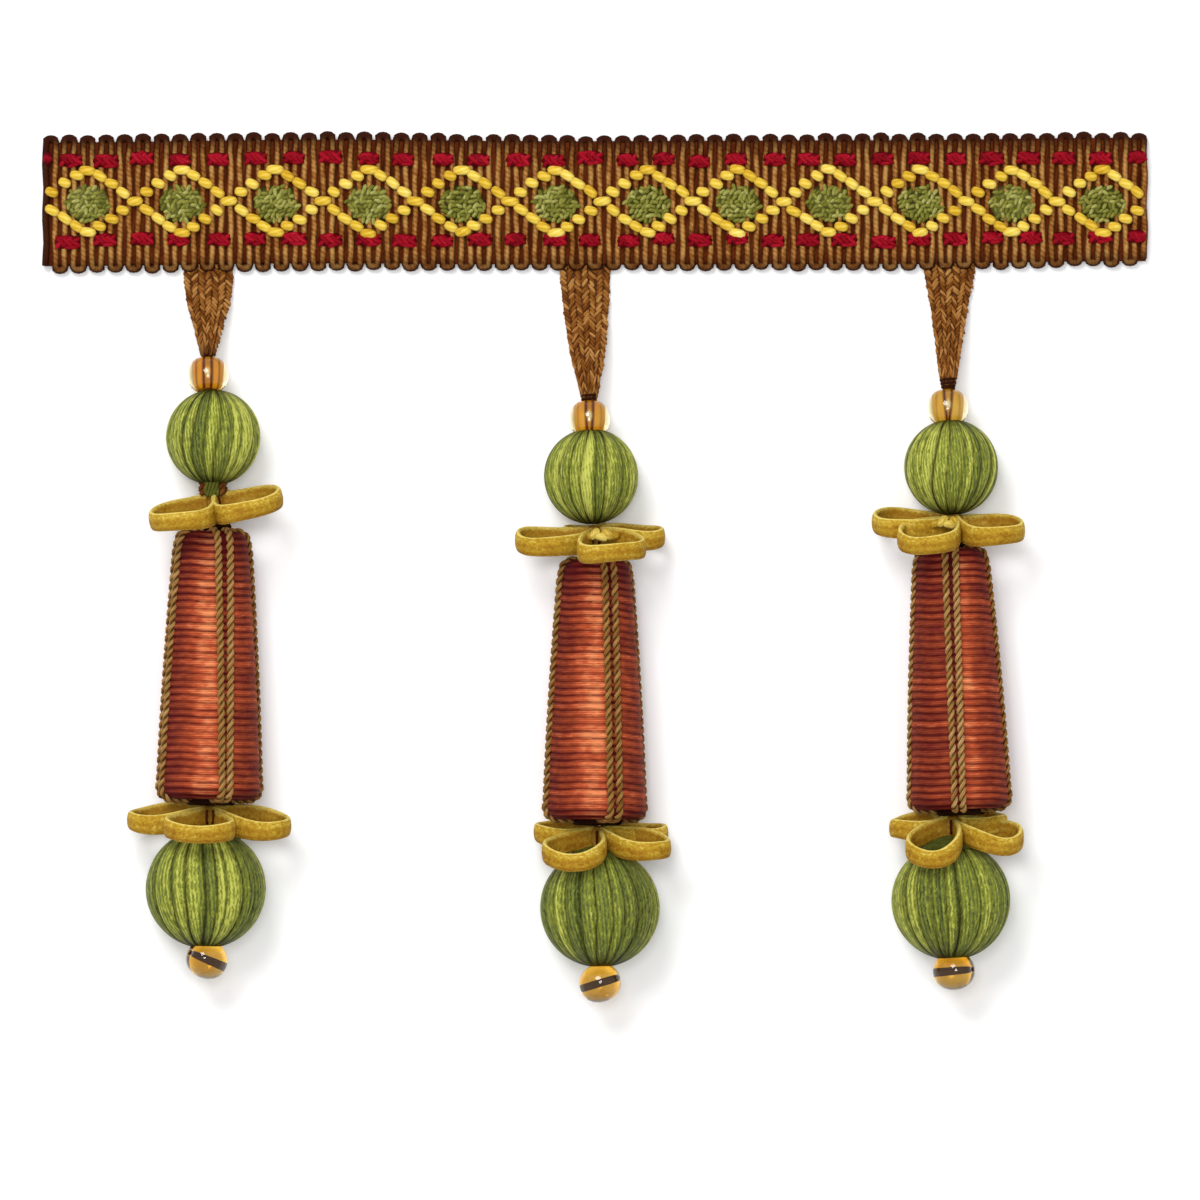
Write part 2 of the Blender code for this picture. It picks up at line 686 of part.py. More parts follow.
def build_trim():
    """Make every piece of the trim."""
    clear_scene()
    parts = new_collection("tassel_fringe_trim")
    cutters = new_collection("cutters")
    yarns = {name: make_material(name) for name in COLOURS}
    add_band(parts, cutters, yarns["band_weft"])
    add_figure(parts, yarns["diamond_cord"])
    for side in DROPS:
        add_tab(side, parts, yarns["tab_braid"])
        add_bead(side, "upper", parts, yarns["amber_glass"])
        add_thread(side, parts, yarns["thread"])
        add_ball(side, "small", parts, yarns["green_floss"])
        if "neck" in DROPS[side]:
            add_neck(side, parts, yarns["thread"])
        add_rosette(side, "upper", parts, cutters, yarns["gold_tape"])
        add_cone(side, parts, yarns["red_winding"])
        add_cord_pairs(side, parts, yarns["twisted_cord"])
        add_rosette(side, "lower", parts, cutters, yarns["gold_tape"])
        add_ball(side, "big", parts, yarns["green_floss"])
        add_bead(side, "end", parts, yarns["amber_glass"])
    for cutter in cutters.objects:
        cutter.hide_render = True
        cutter.display_type = "WIRE"


build_trim()
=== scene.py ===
"""The looks of a tassel fringe trim: a ribbed gimp braid with three wound drops, laid flat."""

import bpy
import numpy as np
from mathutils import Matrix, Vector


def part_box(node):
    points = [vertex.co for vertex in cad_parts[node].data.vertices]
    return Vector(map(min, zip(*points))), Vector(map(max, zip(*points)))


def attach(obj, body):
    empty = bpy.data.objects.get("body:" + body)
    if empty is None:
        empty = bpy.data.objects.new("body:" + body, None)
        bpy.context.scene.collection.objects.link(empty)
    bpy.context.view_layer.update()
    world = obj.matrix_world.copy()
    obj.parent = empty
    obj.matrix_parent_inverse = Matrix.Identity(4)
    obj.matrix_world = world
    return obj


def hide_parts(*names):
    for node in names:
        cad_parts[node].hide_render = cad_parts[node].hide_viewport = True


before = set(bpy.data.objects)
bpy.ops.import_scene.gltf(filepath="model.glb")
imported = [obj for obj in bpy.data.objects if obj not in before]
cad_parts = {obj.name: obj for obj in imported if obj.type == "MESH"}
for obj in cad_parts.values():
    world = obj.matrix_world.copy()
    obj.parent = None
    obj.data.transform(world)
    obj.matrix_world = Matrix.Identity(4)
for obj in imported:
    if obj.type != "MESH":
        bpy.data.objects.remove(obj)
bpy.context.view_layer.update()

# Setting
# The trim lies on a plain white table and is seen straight from above, from far enough
# away that nothing leans. Two broad soft lamps stand at the upper left and overhead.
MM = 0.001
PHOTO_PX = 0.11 * MM
PHOTO_SIZE = 1200
PHOTO_MIDDLE = (0.55 * MM, -43.7 * MM)
CAMERA_HEIGHT = 1.5
SENSOR = 36.0
LAMP_AIM = (0.0, -0.03, 0.0)
LAMPS = {
    "key_lamp": {"spot": (-0.22, 0.40, 0.78), "size": 0.32, "power": 4.0},
    "glint_lamp": {"spot": (-0.02, 0.02, 0.9), "size": 0.2, "power": 1.8},
}
SKY = {"Color": (1.0, 1.0, 1.0, 1.0), "Strength": 0.75}
TABLE_HALF = 1.5
TABLE_COLOUR = (0.975, 0.975, 0.98, 1.0)


def add_object(name, data):
    """A new object, linked to the scene."""
    thing = bpy.data.objects.new(name, data)
    bpy.context.scene.collection.objects.link(thing)
    return thing


def preset(node, **values):
    """Sets a node's inputs, where an underscore in a name stands for a space."""
    for label, value in values.items():
        node.inputs[label.replace("_", " ")].default_value = value


def add_lamp(name, spot, size, power):
    """A square soft lamp that faces the trim."""
    data = bpy.data.lights.new(name, "AREA")
    data.size, data.energy = size, power
    lamp = add_object(name, data)
    lamp.location = spot
    x, y, z = np.array(spot) - LAMP_AIM
    lamp.rotation_euler = (0.0, np.arctan2(np.hypot(x, y), z), np.arctan2(y, x))


def new_material(name, roughness, specular):
    """A material with its nodes, its link function and its shader."""
    material = bpy.data.materials.new(name)
    material.use_nodes = True
    tree = material.node_tree
    shader = tree.nodes["Principled BSDF"]
    preset(shader, Roughness=roughness, Specular_IOR_Level=specular)
    return material, tree.nodes, tree.links.new, shader


camera_data = bpy.data.cameras.new("camera")
camera_data.sensor_width = SENSOR
camera_data.lens = SENSOR * CAMERA_HEIGHT / (PHOTO_SIZE * PHOTO_PX)
camera = add_object("camera", camera_data)
camera.location = (*PHOTO_MIDDLE, CAMERA_HEIGHT)
bpy.context.scene.camera = camera
bpy.context.scene.view_settings.view_transform = "Standard"
for name, lamp in LAMPS.items():
    add_lamp(name, **lamp)
world = bpy.data.worlds.new("studio")
bpy.context.scene.world = world
world.use_nodes = True
preset(world.node_tree.nodes["Background"], **SKY)

table_corners = TABLE_HALF * np.array([(-1, -1, 0), (1, -1, 0), (1, 1, 0), (-1, 1, 0)])
table_mesh = bpy.data.meshes.new("table")
table_mesh.from_pydata(table_corners.tolist(), [], [(0, 1, 2, 3)])
table = add_object("table", table_mesh)
table_paint, _, _, table_shader = new_material("table_paint", 0.9, 0.1)
preset(table_shader, Base_Color=TABLE_COLOUR)
table_mesh.materials.append(table_paint)


# Band ground
# The band is woven: a thin ground of dark maroon warp lies inside it, and the weft cord
# runs to and fro over the ground. The ground is one flat strip of cloth.
BAND_LENGTH = 121.68 * MM
GROUND = {"half_width": 6.8 * MM, "half_height": 0.42 * MM, "sides": 16, "squareness": 0.35}
GROUND_MIDDLE = 0.75 * MM
GROUND_END = BAND_LENGTH / 2 - 0.3 * MM
UP = (0.0, 0.0, 1.0)
EDGE_PLACES = np.array([-60.8, -30.0, -3.0, 30.0, 60.8]) * MM
UPPER_DRIFT = np.array([0.1, 0.5, 0.1, 0.3, 0.4]) * MM
LOWER_DRIFT = np.array([-0.5, -0.25, -0.2, -0.2, 0.3]) * MM
YARN_INPUTS = ("Turns", "Plies", "Wander", "Streaks Along", "Streaks Round", "Mottle", "Depth")
YARN_GLOSS = 0.05
OVEREXPOSURE = 1.18


def linear(red, green, blue):
    """A colour read off the photo from 0 to 255, as the linear colour of what it shows.

    The photo is overexposed, so that its table is pure white.
    """
    share = np.array([red, green, blue]) / 255
    light = np.where(share <= 0.04045, share / 12.92, ((share + 0.055) / 1.055) ** 2.4)
    return (*(light / OVEREXPOSURE), 1.0)


def clamp(values):
    """Values kept between 0 and 1."""
    return np.clip(values, 0, 1)


def points(*coordinates):
    """Points from their coordinates, where one value can serve for all of them."""
    return np.stack(np.broadcast_arrays(*coordinates), axis=-1)


def eased(value, levels):
    """Levels at the band's marked places, joined by smooth steps."""
    slot = np.clip(np.searchsorted(EDGE_PLACES, value) - 1, 0, len(EDGE_PLACES) - 2)
    span = EDGE_PLACES[slot + 1] - EDGE_PLACES[slot]
    share = clamp((value - EDGE_PLACES[slot]) / span)
    blend = share * share * (3 - 2 * share)
    return levels[slot] + (levels[slot + 1] - levels[slot]) * blend


def unit(vectors):
    """Vectors scaled to a length of one."""
    return vectors / np.maximum(np.linalg.norm(vectors, axis=-1, keepdims=True), 1e-12)


def ring_angles(count):
    """Even angles once round, in radians."""
    return 2 * np.pi * np.arange(count) / count


def rounded(angles, power):
    """The cosine and the sine of angles, each raised to a power with its sign kept."""
    return (np.sign(wave) * np.abs(wave) ** power for wave in (np.cos(angles), np.sin(angles)))


def run_along(steps):
    """The length run so far at each station, from the steps between stations."""
    return np.concatenate([np.zeros((*steps.shape[:-1], 1)), np.cumsum(steps, axis=-1)], axis=-1)


def path_frame(path, up):
    """The sideways and upright directions of paths, at each station."""
    along = unit(np.gradient(path, axis=-2))
    sideways = unit(np.cross(np.broadcast_to(up, path.shape), along))
    return sideways, np.cross(along, sideways)


def sweep(path, up, half_width, half_height, sides, squareness=1.0):
    """Rings carried along paths (tubes, stations, 3).

    A ring is the path's point plus sideways times cos and up times sin of the angle round
    it, each raised to the squareness: 1 gives an ellipse and less gives a rounded box.
    """
    sideways, upright = path_frame(path, up)
    cosine, sine = rounded(ring_angles(sides), squareness)
    wide, high = (np.broadcast_to(size, path.shape[:-1])[..., None, None]
                  for size in (half_width, half_height))
    return (path[..., None, :] + sideways[..., None, :] * cosine[:, None] * wide
            + upright[..., None, :] * sine[:, None] * high)


def skin(name, rings, material, slot, *nodes, tone=0.5, shade=0.0, round_trip=False):
    """One piece: a closed skin over rings (tubes, stations, sides, 3).

    The UV map holds the length along each tube in millimetres and the share of the way
    round it. The attribute tone carries a yarn's own colour; shade draws it darker, in
    most pieces as painted shade and in a few as the darker colour of the yarn itself.
    The piece rides on the part and stands for the nodes.
    """
    tubes, stations, sides, _ = rings.shape
    corners = np.arange(tubes * stations * sides).reshape(tubes, stations, sides)
    lengths = run_along(np.linalg.norm(np.diff(rings.mean(axis=2), axis=1), axis=-1)) / MM
    here, there = corners[:, :-1], corners[:, 1:]
    start, end = lengths[:, :-1], lengths[:, 1:]
    caps = np.concatenate([corners[:, 0, ::-1], corners[:, -1]])
    if round_trip:
        here, there = corners, np.roll(corners, -1, axis=1)
        start, end = lengths, lengths + (lengths[:, -1:] / (stations - 1))
        caps = caps[:0]
    quads = np.stack([here, np.roll(here, -1, 2), np.roll(there, -1, 2), there], axis=-1)
    uv = np.stack([points(run[..., None], (np.arange(sides) + late) / sides)
                   for run, late in ((start, 0), (start, 1), (end, 1), (end, 0))], axis=-2)
    quads, uv, vertices = quads.reshape(-1, 4), uv.reshape(-1, 4, 2), rings.reshape(-1, 3)
    a, b, c, d = vertices[quads].transpose(1, 0, 2)
    if np.sum(a * (np.cross(b, c) + np.cross(c, d))) < 0:
        quads, uv, caps = quads[:, ::-1], uv[:, ::-1], caps[:, ::-1]
    mesh = bpy.data.meshes.new(name)
    mesh.vertices.add(len(vertices))
    mesh.vertices.foreach_set("co", vertices.astype(np.float32).ravel())
    loops = np.append(quads, caps)
    totals = np.repeat([4, sides], [len(quads), len(caps)])
    mesh.loops.add(len(loops))
    mesh.loops.foreach_set("vertex_index", loops.astype(np.int32))
    mesh.polygons.add(len(totals))
    mesh.polygons.foreach_set("loop_start", (np.cumsum(totals) - totals).astype(np.int32))
    mesh.polygons.foreach_set("loop_total", totals.astype(np.int32))
    mesh.update(calc_edges=True)
    mesh.validate()
    mesh.shade_smooth()
    layer = mesh.uv_layers.new(name="UVMap")
    layer.data.foreach_set("uv", np.append(uv, np.zeros(2 * caps.size)))
    for label, values in (("tone", tone), ("shade", shade)):
        values = np.asarray(values, float)
        values = values.reshape(values.shape + (1,) * (3 - values.ndim))
        spread = np.broadcast_to(values, corners.shape).ravel()
        mesh.attributes.new(label, "FLOAT", "POINT").data.foreach_set("value", spread)
    mesh.materials.append(material)
    piece = add_object(name, mesh)
    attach(piece, "root")
    if nodes:
        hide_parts(*nodes)
    return piece


def yarn_group():
    """A node group for spun yarn.

    The plies are a sine of turns along the yarn plus the plies round it. Streaks of noise,
    long one way and fine the other, stand for the fibres, and fine noise breaks them up.
    It puts out a fibre value from 0 in the grooves to 1 on the ridges, which also darkens
    the colour in the grooves as painted shade, a slow mottle and a bumped normal.
    """
    group = bpy.data.node_groups.new("spun_yarn", "ShaderNodeTree")
    for label in YARN_INPUTS:
        group.interface.new_socket(label, in_out="INPUT", socket_type="NodeSocketFloat")
    for label, kind in (("Fibre And Groove Shade", "Float"), ("Patch", "Float"), ("Normal", "Vector")):
        group.interface.new_socket(label, in_out="OUTPUT", socket_type=f"NodeSocket{kind}")
    add, link = group.nodes.new, group.links.new
    entry, leave = add("NodeGroupInput").outputs, add("NodeGroupOutput").inputs
    uv, split = add("ShaderNodeUVMap"), add("ShaderNodeSeparateXYZ")
    uv.uv_map = "UVMap"
    link(uv.outputs["UV"], split.inputs["Vector"])
    along, round_it = split.outputs["X"], split.outputs["Y"]

    def maths(operation, first, second=0.0):
        node = add("ShaderNodeMath")
        node.operation = operation
        for socket, source in zip(node.inputs, (first, second)):
            if isinstance(source, float):
                socket.default_value = source
            else:
                link(source, socket)
        return node.outputs["Value"]

    def times(first, second):
        return maths("MULTIPLY", first, second)

    def plus(first, second):
        return maths("ADD", first, second)

    coordinates = add("ShaderNodeTexCoord").outputs["Object"]
    blur, patch, streak = (add("ShaderNodeTexNoise") for _ in range(3))
    preset(blur, Scale=3200.0)
    preset(patch, Detail=1.0)
    preset(streak, Scale=1.0, Detail=1.0)
    link(entry["Mottle"], patch.inputs["Scale"])
    stretched = add("ShaderNodeCombineXYZ")
    link(times(along, entry["Streaks Along"]), stretched.inputs["X"])
    link(times(round_it, entry["Streaks Round"]), stretched.inputs["Y"])
    for noise, source in ((blur, coordinates), (patch, coordinates),
                          (streak, stretched.outputs["Vector"])):
        link(source, noise.inputs["Vector"])
    phase = plus(times(along, entry["Turns"]), times(round_it, entry["Plies"]))
    phase = plus(phase, times(blur.outputs["Fac"], entry["Wander"]))
    wave = maths("SINE", times(phase, 6.28318))
    # The ridges feed the colour as well as the bump, so the ply grooves get painted shade.
    ridge = times(plus(times(wave, 0.5), 0.5), 0.4)
    fibres = times(plus(times(streak.outputs["Fac"], 2.2), -0.6), 0.45)
    mixed = plus(plus(ridge, fibres), times(blur.outputs["Fac"], 0.2))
    bump = add("ShaderNodeBump")
    preset(bump, Distance=0.1 * MM)
    link(entry["Depth"], bump.inputs["Strength"])
    link(mixed, bump.inputs["Height"])
    link(mixed, leave["Fibre And Groove Shade"])
    link(patch.outputs["Fac"], leave["Patch"])
    link(bump.outputs["Normal"], leave["Normal"])
    return group


spun_yarn = yarn_group()


def colour_ramp(nodes, link, source, colours, first, last):
    """The colour that a source reads off a ramp of evenly spaced colours."""
    ramp = nodes.new("ShaderNodeValToRGB")
    stops = ramp.color_ramp.elements
    while len(stops) < len(colours):
        stops.new(0.5)
    for stop, colour, position in zip(stops, colours, np.linspace(first, last, len(colours))):
        stop.position = position
        stop.color = colour
    link(source, ramp.inputs["Fac"])
    return ramp.outputs["Color"]


def yarn_material(name, colours, roughness, turns=1.0, plies=4.0, depth=0.3, wander=0.5,
                  streaks=(1.0, 12.0), weights=(0.35, 0.35, 0.3), dark=None, mottle=400.0):
    """A yarn's finish: a ramp of colours read by its fibres, with painted shade in the
    grooves between plies, its mottle and its own tone.

    The attribute shade then draws it towards the dark colour.
    """
    material, nodes, link, shader = new_material(name, roughness, YARN_GLOSS)
    yarn = nodes.new("ShaderNodeGroup")
    yarn.node_tree = spun_yarn
    for label, value in zip(YARN_INPUTS, (turns, plies, wander, *streaks, mottle, depth)):
        yarn.inputs[label].default_value = value
    tone, shade = nodes.new("ShaderNodeAttribute"), nodes.new("ShaderNodeAttribute")
    tone.attribute_name, shade.attribute_name = "tone", "shade"
    total = None
    for source, weight in zip((yarn.outputs["Fibre And Groove Shade"], yarn.outputs["Patch"],
                               tone.outputs["Fac"]), weights):
        scaled = nodes.new("ShaderNodeMath")
        scaled.operation = "MULTIPLY_ADD"
        link(source, scaled.inputs[0])
        scaled.inputs[1].default_value = weight
        scaled.inputs[2].default_value = 0.0
        if total is not None:
            link(total, scaled.inputs[2])
        total = scaled.outputs["Value"]
    ramp = colour_ramp(nodes, link, total, [linear(*colour) for colour in colours], 0.15, 0.85)
    mix = nodes.new("ShaderNodeMix")
    mix.data_type = "RGBA"
    link(shade.outputs["Fac"], mix.inputs["Factor"])
    link(ramp, mix.inputs["A"])
    preset(mix, B=linear(*(dark or colours[0])))
    link(mix.outputs["Result"], shader.inputs["Base Color"])
    link(yarn.outputs["Normal"], shader.inputs["Normal"])
    return material


maroon_warp = yarn_material("maroon_warp", ((40, 10, 2), (84, 32, 7), (116, 54, 18)), 0.9,
                            turns=2.0, plies=30.0)
ground_x = np.linspace(-GROUND_END, GROUND_END, 61)
ground_y = (eased(ground_x, UPPER_DRIFT) + eased(ground_x, LOWER_DRIFT)) / 2
ground_path = points(ground_x, ground_y, GROUND_MIDDLE)
ground = skin("band_ground", sweep(ground_path[None], UP, **GROUND), maroon_warp, "band_weft")


# Band weft
# One golden brown cord runs up and down over the ground in 120 ribs, and turns back in a
# hairpin at each edge, where it dips and darkens. Each rib carries painted shade on its
# flanks, so only a strip along its top stays light. No two ribs have quite the same tone.
RIBS = 120
RIB_PITCH = BAND_LENGTH / RIBS
RIB = {"half_width": 0.4 * MM, "half_height": 0.74 * MM, "middle": 0.86 * MM,
       "end": 6.5 * MM, "unevenness": 0.06 * MM}
RIB_WAVES = {"aside": 0.07 * MM, "aside_pitch": 1.1 / MM, "lift": 0.05 * MM,
             "lift_pitch": 3.1 / MM}
TURN = {"reach": 0.32 * MM, "dip": 0.22 * MM}
RUN_STATIONS = 12
TURN_STATIONS = 5
WEFT_SIDES = 10
TOP_FADE = 1.9 * MM
dice = np.random.default_rng(11)


def joined(run, turn):
    """Values on the runs and on the turns, as one list that ends with the last run."""
    turn = np.broadcast_to(turn, (RIBS, TURN_STATIONS))
    return np.concatenate([run, turn], axis=1).ravel()[:-TURN_STATIONS]


rib_index = np.arange(RIBS)
rib_x = -BAND_LENGTH / 2 + (rib_index + 0.5) * RIB_PITCH
rib_top = RIB["end"] + eased(rib_x, UPPER_DRIFT) + dice.normal(0, RIB["unevenness"], RIBS)
rib_bottom = -RIB["end"] + eased(rib_x, LOWER_DRIFT) + dice.normal(0, RIB["unevenness"], RIBS)
heading = np.where(rib_index % 2 == 0, 1.0, -1.0)
rib_from = np.where(heading > 0, rib_bottom, rib_top)
rib_to = np.where(heading > 0, rib_top, rib_bottom)
run_share = np.linspace(0.0, 1.0, RUN_STATIONS)
run_y = rib_from[:, None] + (rib_to - rib_from)[:, None] * run_share
run_x = rib_x[:, None] + RIB_WAVES["aside"] * np.sin(
    run_y * RIB_WAVES["aside_pitch"] + 2.1 * rib_index[:, None])
run_z = RIB["middle"] + RIB_WAVES["lift"] * np.sin(
    run_y * RIB_WAVES["lift_pitch"] + np.pi * rib_index[:, None])
turn_angle = np.pi * (np.arange(TURN_STATIONS) + 1) / (TURN_STATIONS + 1)
turn_x = rib_x[:, None] + RIB_PITCH / 2 * (1 - np.cos(turn_angle))
turn_y = rib_to[:, None] + heading[:, None] * TURN["reach"] * np.sin(turn_angle)
turn_z = RIB["middle"] - TURN["dip"] * np.sin(turn_angle)
weft_path = points(joined(run_x, turn_x), joined(run_y, turn_y), joined(run_z, turn_z))[None]
top_share = clamp((run_y - rib_top[:, None]) / TOP_FADE + 1)
run_end = clamp((np.abs(run_share - 0.5) - 0.45) / 0.05)
edge_share = joined(np.maximum(0.5 * run_end, 0.8 * top_share),
                    np.where(heading > 0, 1.0, 0.5)[:, None])
# Painted shade: each rib darkens towards its flanks.
painted_flank_shade = np.cos(ring_angles(WEFT_SIDES)) ** 2
first_rib = np.arange(len(edge_share)) < RUN_STATIONS
weft_shade = clamp((edge_share + 0.8 * first_rib)[None, :, None] + 1.05 * painted_flank_shade**0.8)
weft_tone = np.repeat(dice.uniform(0, 1, RIBS), RUN_STATIONS + TURN_STATIONS)[:-TURN_STATIONS]
weft_width = RIB["half_width"] * (1 + 0.25 * joined(np.zeros_like(run_x), 1.0))
weft_height = RIB["half_height"] * (1 - 0.3 * edge_share)
brown_weft = yarn_material(
    "brown_weft", ((74, 30, 4), (122, 68, 22), (164, 106, 48), (202, 150, 82)), 0.7,
    turns=1.9, plies=2.0, depth=0.7, weights=(0.4, 0.7, 0.25), dark=(52, 19, 5), mottle=1100.0)
weft = skin("band_weft_cord", sweep(weft_path, UP, weft_width, weft_height, WEFT_SIDES),
            brown_weft, "band_weft", "band", tone=weft_tone[None], shade=weft_shade)


# Diamond cords
# Two yellow cords are stitched across the ribs and cross every ten ribs. Every stitch
# leans the same way, so one side of a diamond looks like rope and the other like a row
# of grains.
DIAMONDS = 12
STITCHES_PER_DIAMOND = 8
DIAMOND_HEIGHT = 3.45 * MM
FIGURE_Y = 0.12 * MM
FIGURE_SLIP = np.array([0.0, 0.5, 0.75, 0.35, 0.0]) * MM
STITCH = {"half_width": 0.52 * MM, "half_height": 0.4 * MM, "arch": 0.26 * MM,
          "stations": 9, "sides": 8}
STITCH_MIDDLE = 1.86 * MM
STITCH_LENGTH = 1.6 * MM
STITCH_LEAN = {"level": -4.0, "falling": -32.0, "rising": -20.0}


def floats(centres, along, lengths, half_width, half_height, arch, stations=8, sides=7, up=UP):
    """Rings of short floats of yarn, each a spindle that arches over what lies below.

    A point lies at its centre plus half the length times a share from -1 to 1 along its
    direction, sinks by the arch times the share squared, and thins as the root of
    1 - share^4.
    """
    count = len(centres)
    share = np.linspace(-1.0, 1.0, stations)
    half = np.broadcast_to(lengths, count) / 2
    up = np.broadcast_to(up, centres.shape)[:, None]
    sink = np.broadcast_to(arch, count)[:, None] * share**2
    path = (centres[:, None] + along[:, None] * (half[:, None] * share)[..., None]
            - up * sink[..., None])
    thin = np.sqrt(np.clip(1 - share**4, 0.02, 1.0))
    wide, high = (np.broadcast_to(half_size, count)[:, None] * thin
                  for half_size in (half_width, half_height))
    return sweep(path, up, wide, high, sides)


def around(first, second, angles):
    """Directions at angles that turn from a first direction towards a second."""
    angles = np.asarray(angles)[..., None]
    return first * np.cos(angles) + second * np.sin(angles)


def own_tones(count, highest=1):
    """A random tone for each of some yarns."""
    return dice.uniform(0, highest, count)[:, None]


def leaning(degrees):
    """Level directions that lean by angles from the band's length."""
    return around(np.array([1.0, 0.0, 0.0]), np.array([0.0, 1.0, 0.0]), np.radians(degrees))


chain = np.arange(DIAMONDS * STITCHES_PER_DIAMOND)
step = chain % STITCHES_PER_DIAMOND
way = np.minimum(step, STITCHES_PER_DIAMOND - step) / (STITCHES_PER_DIAMOND // 2)
rise = DIAMOND_HEIGHT * (0.7 * way + 0.3 * np.sin(np.pi / 2 * way))
chain_x = -BAND_LENGTH / 2 + BAND_LENGTH * chain / len(chain)
chain_x = chain_x + eased(chain_x, FIGURE_SLIP)
upper_stitch = points(chain_x, FIGURE_Y + rise)
lower_stitch = points(chain_x, FIGURE_Y - rise)[step > 0]
stitch_xy = np.concatenate([upper_stitch, lower_stitch])[1:]
stitch_xy += dice.normal(0, 0.05 * MM, stitch_xy.shape)
stitches = len(stitch_xy)
stitch_step = np.concatenate([step, step[step > 0]])[1:]
level = (stitch_step == 0) | (stitch_step == STITCHES_PER_DIAMOND // 2)
falling = (stitch_xy[:, 1] < FIGURE_Y) == (stitch_step < STITCHES_PER_DIAMOND // 2)
stitch_lean = np.where(level, STITCH_LEAN["level"],
                       np.where(falling, STITCH_LEAN["falling"], STITCH_LEAN["rising"]))
stitch_lean = stitch_lean + dice.normal(0, 6.0, stitches)
stitch_length = STITCH_LENGTH * dice.uniform(0.9, 1.08, stitches)
stitch_length = stitch_length * np.where(level, 1.25, np.where(falling, 1.1, 0.95))
stitch_rings = floats(np.insert(stitch_xy, 2, STITCH_MIDDLE, axis=1), leaning(stitch_lean),
                      stitch_length, **STITCH)
# Painted shade: each stitch darkens towards its ends, where it dips in among the ribs.
painted_stitch_end_shade = 0.6 * np.abs(np.linspace(-1, 1, STITCH["stations"])) ** 3
yellow_yarn = yarn_material(
    "yellow_yarn", ((190, 136, 24), (222, 180, 50), (242, 212, 88), (252, 234, 140)), 0.5,
    turns=0.9, plies=5.0, depth=0.35, weights=(0.5, 0.2, 0.3), dark=(150, 92, 14))
diamonds = skin("diamond_stitches", stitch_rings, yellow_yarn, "diamond_cord", "diamond_cord",
                tone=own_tones(stitches), shade=painted_stitch_end_shade[None])


# Green spots
# In the middle of each diamond a spot of green yarn is worked in short steep floats over
# a pad of the same yarn, darkened as painted shade where it shows between the floats.
SPOT_Y = FIGURE_Y - 0.3 * MM
SPOT_TOP = 1.72 * MM
SPOT_REACH = np.array([2.3, 1.75]) * MM
SPOT_DOME = 0.2 * MM
SPOT_FLOAT = {"half_width": 0.24 * MM, "half_height": 0.25 * MM, "arch": 0.1 * MM, "sides": 6}
PAD = {"lengths": 4.9 * MM, "half_width": 2.05 * MM, "half_height": 0.3 * MM, "arch": 0.0,
       "sides": 6}
PAD_MIDDLE = 1.42 * MM
SPOT_ROWS = 8
SPOT_COLUMNS = 9

spot_column, spot_row = np.meshgrid(np.arange(SPOT_COLUMNS), np.arange(SPOT_ROWS))
spot_u = (spot_column + 0.5 * (spot_row % 2)) / (SPOT_COLUMNS - 0.5) * 2 - 1
spot_v = spot_row / (SPOT_ROWS - 1) * 2 - 1
spot_uv = points(spot_u, spot_v)[spot_u**2 + spot_v**2 < 1.15]
peak_x = -BAND_LENGTH / 2 + (np.arange(DIAMONDS) + 0.5) * BAND_LENGTH / DIAMONDS
peak_x = peak_x + eased(peak_x, FIGURE_SLIP)
peak = points(peak_x, SPOT_Y)
spot_xy = peak[:, None] + spot_uv * SPOT_REACH
spot_z = np.broadcast_to(SPOT_TOP - SPOT_DOME * (spot_uv**2).sum(axis=-1), spot_xy.shape[:2])
spot_centre = np.concatenate([spot_xy, spot_z[..., None]], axis=-1)
spot_centre += dice.normal(0, 0.07 * MM, spot_centre.shape) * (1.0, 1.0, 0.6)
spot_centre = spot_centre.reshape(-1, 3)
spot_count = len(spot_centre)
spot_rings = floats(spot_centre, leaning(dice.normal(35, 40, spot_count)),
                    dice.uniform(0.65, 1.05, spot_count) * MM, **SPOT_FLOAT)
pad_rings = floats(np.insert(peak, 2, PAD_MIDDLE, axis=1), leaning(np.zeros(DIAMONDS)), **PAD)
green_yarn = yarn_material(
    "green_yarn", ((84, 84, 26), (116, 116, 44), (144, 142, 66), (180, 178, 106)), 0.6,
    turns=1.2, plies=3.0, depth=0.3, weights=(0.3, 0.2, 0.5), dark=(26, 28, 8))
# The pads carry painted shade (0.7), the floats none.
spots = skin("green_spots", np.concatenate([spot_rings, pad_rings]), green_yarn, "green_floss",
             tone=own_tones(spot_count + DIAMONDS),
             shade=np.repeat([0.0, 0.7], [spot_count, DIAMONDS])[:, None])


# Red dashes
# A row of crimson dashes runs along each side of the diamonds, every fourth rib. A dash
# is eight short floats that lean both ways over a bed of the same yarn, darkened as
# painted shade where it shows between the floats.
DASHES = 30
DASH_PITCH = 4 * RIB_PITCH
DASH_START = -BAND_LENGTH / 2 + 2.85 * MM
DASH_ROWS = (4.55 * MM, -4.0 * MM)
CUT_DASH = {"x": -60.2 * MM, "size": 0.33}
LAST_DASH = {"x": 59.5 * MM, "size": 0.78}
DASH_MIDDLE = 1.74 * MM
DASH_FLOAT = {"half_width": 0.26 * MM, "half_height": 0.26 * MM, "arch": 0.2 * MM}
FLOAT_LENGTH = 1.55 * MM
BED = {"half_width": 0.78 * MM, "half_height": 0.3 * MM, "arch": 0.0}
BED_LENGTH = 2.7 * MM
BED_SINK = 0.22 * MM
DASH_FLOATS = np.array([
    (-0.6, 0.05, -40.0, 0.1), (0.08, 0.0, -43.0, 0.14), (0.72, -0.05, -38.0, 0.1),
    (-0.72, -0.12, 42.0, 0.0), (0.0, 0.05, 45.0, 0.02), (0.66, 0.08, 40.0, 0.0),
    (-0.35, 0.45, 8.0, -0.02), (0.42, -0.48, 5.0, -0.02)])

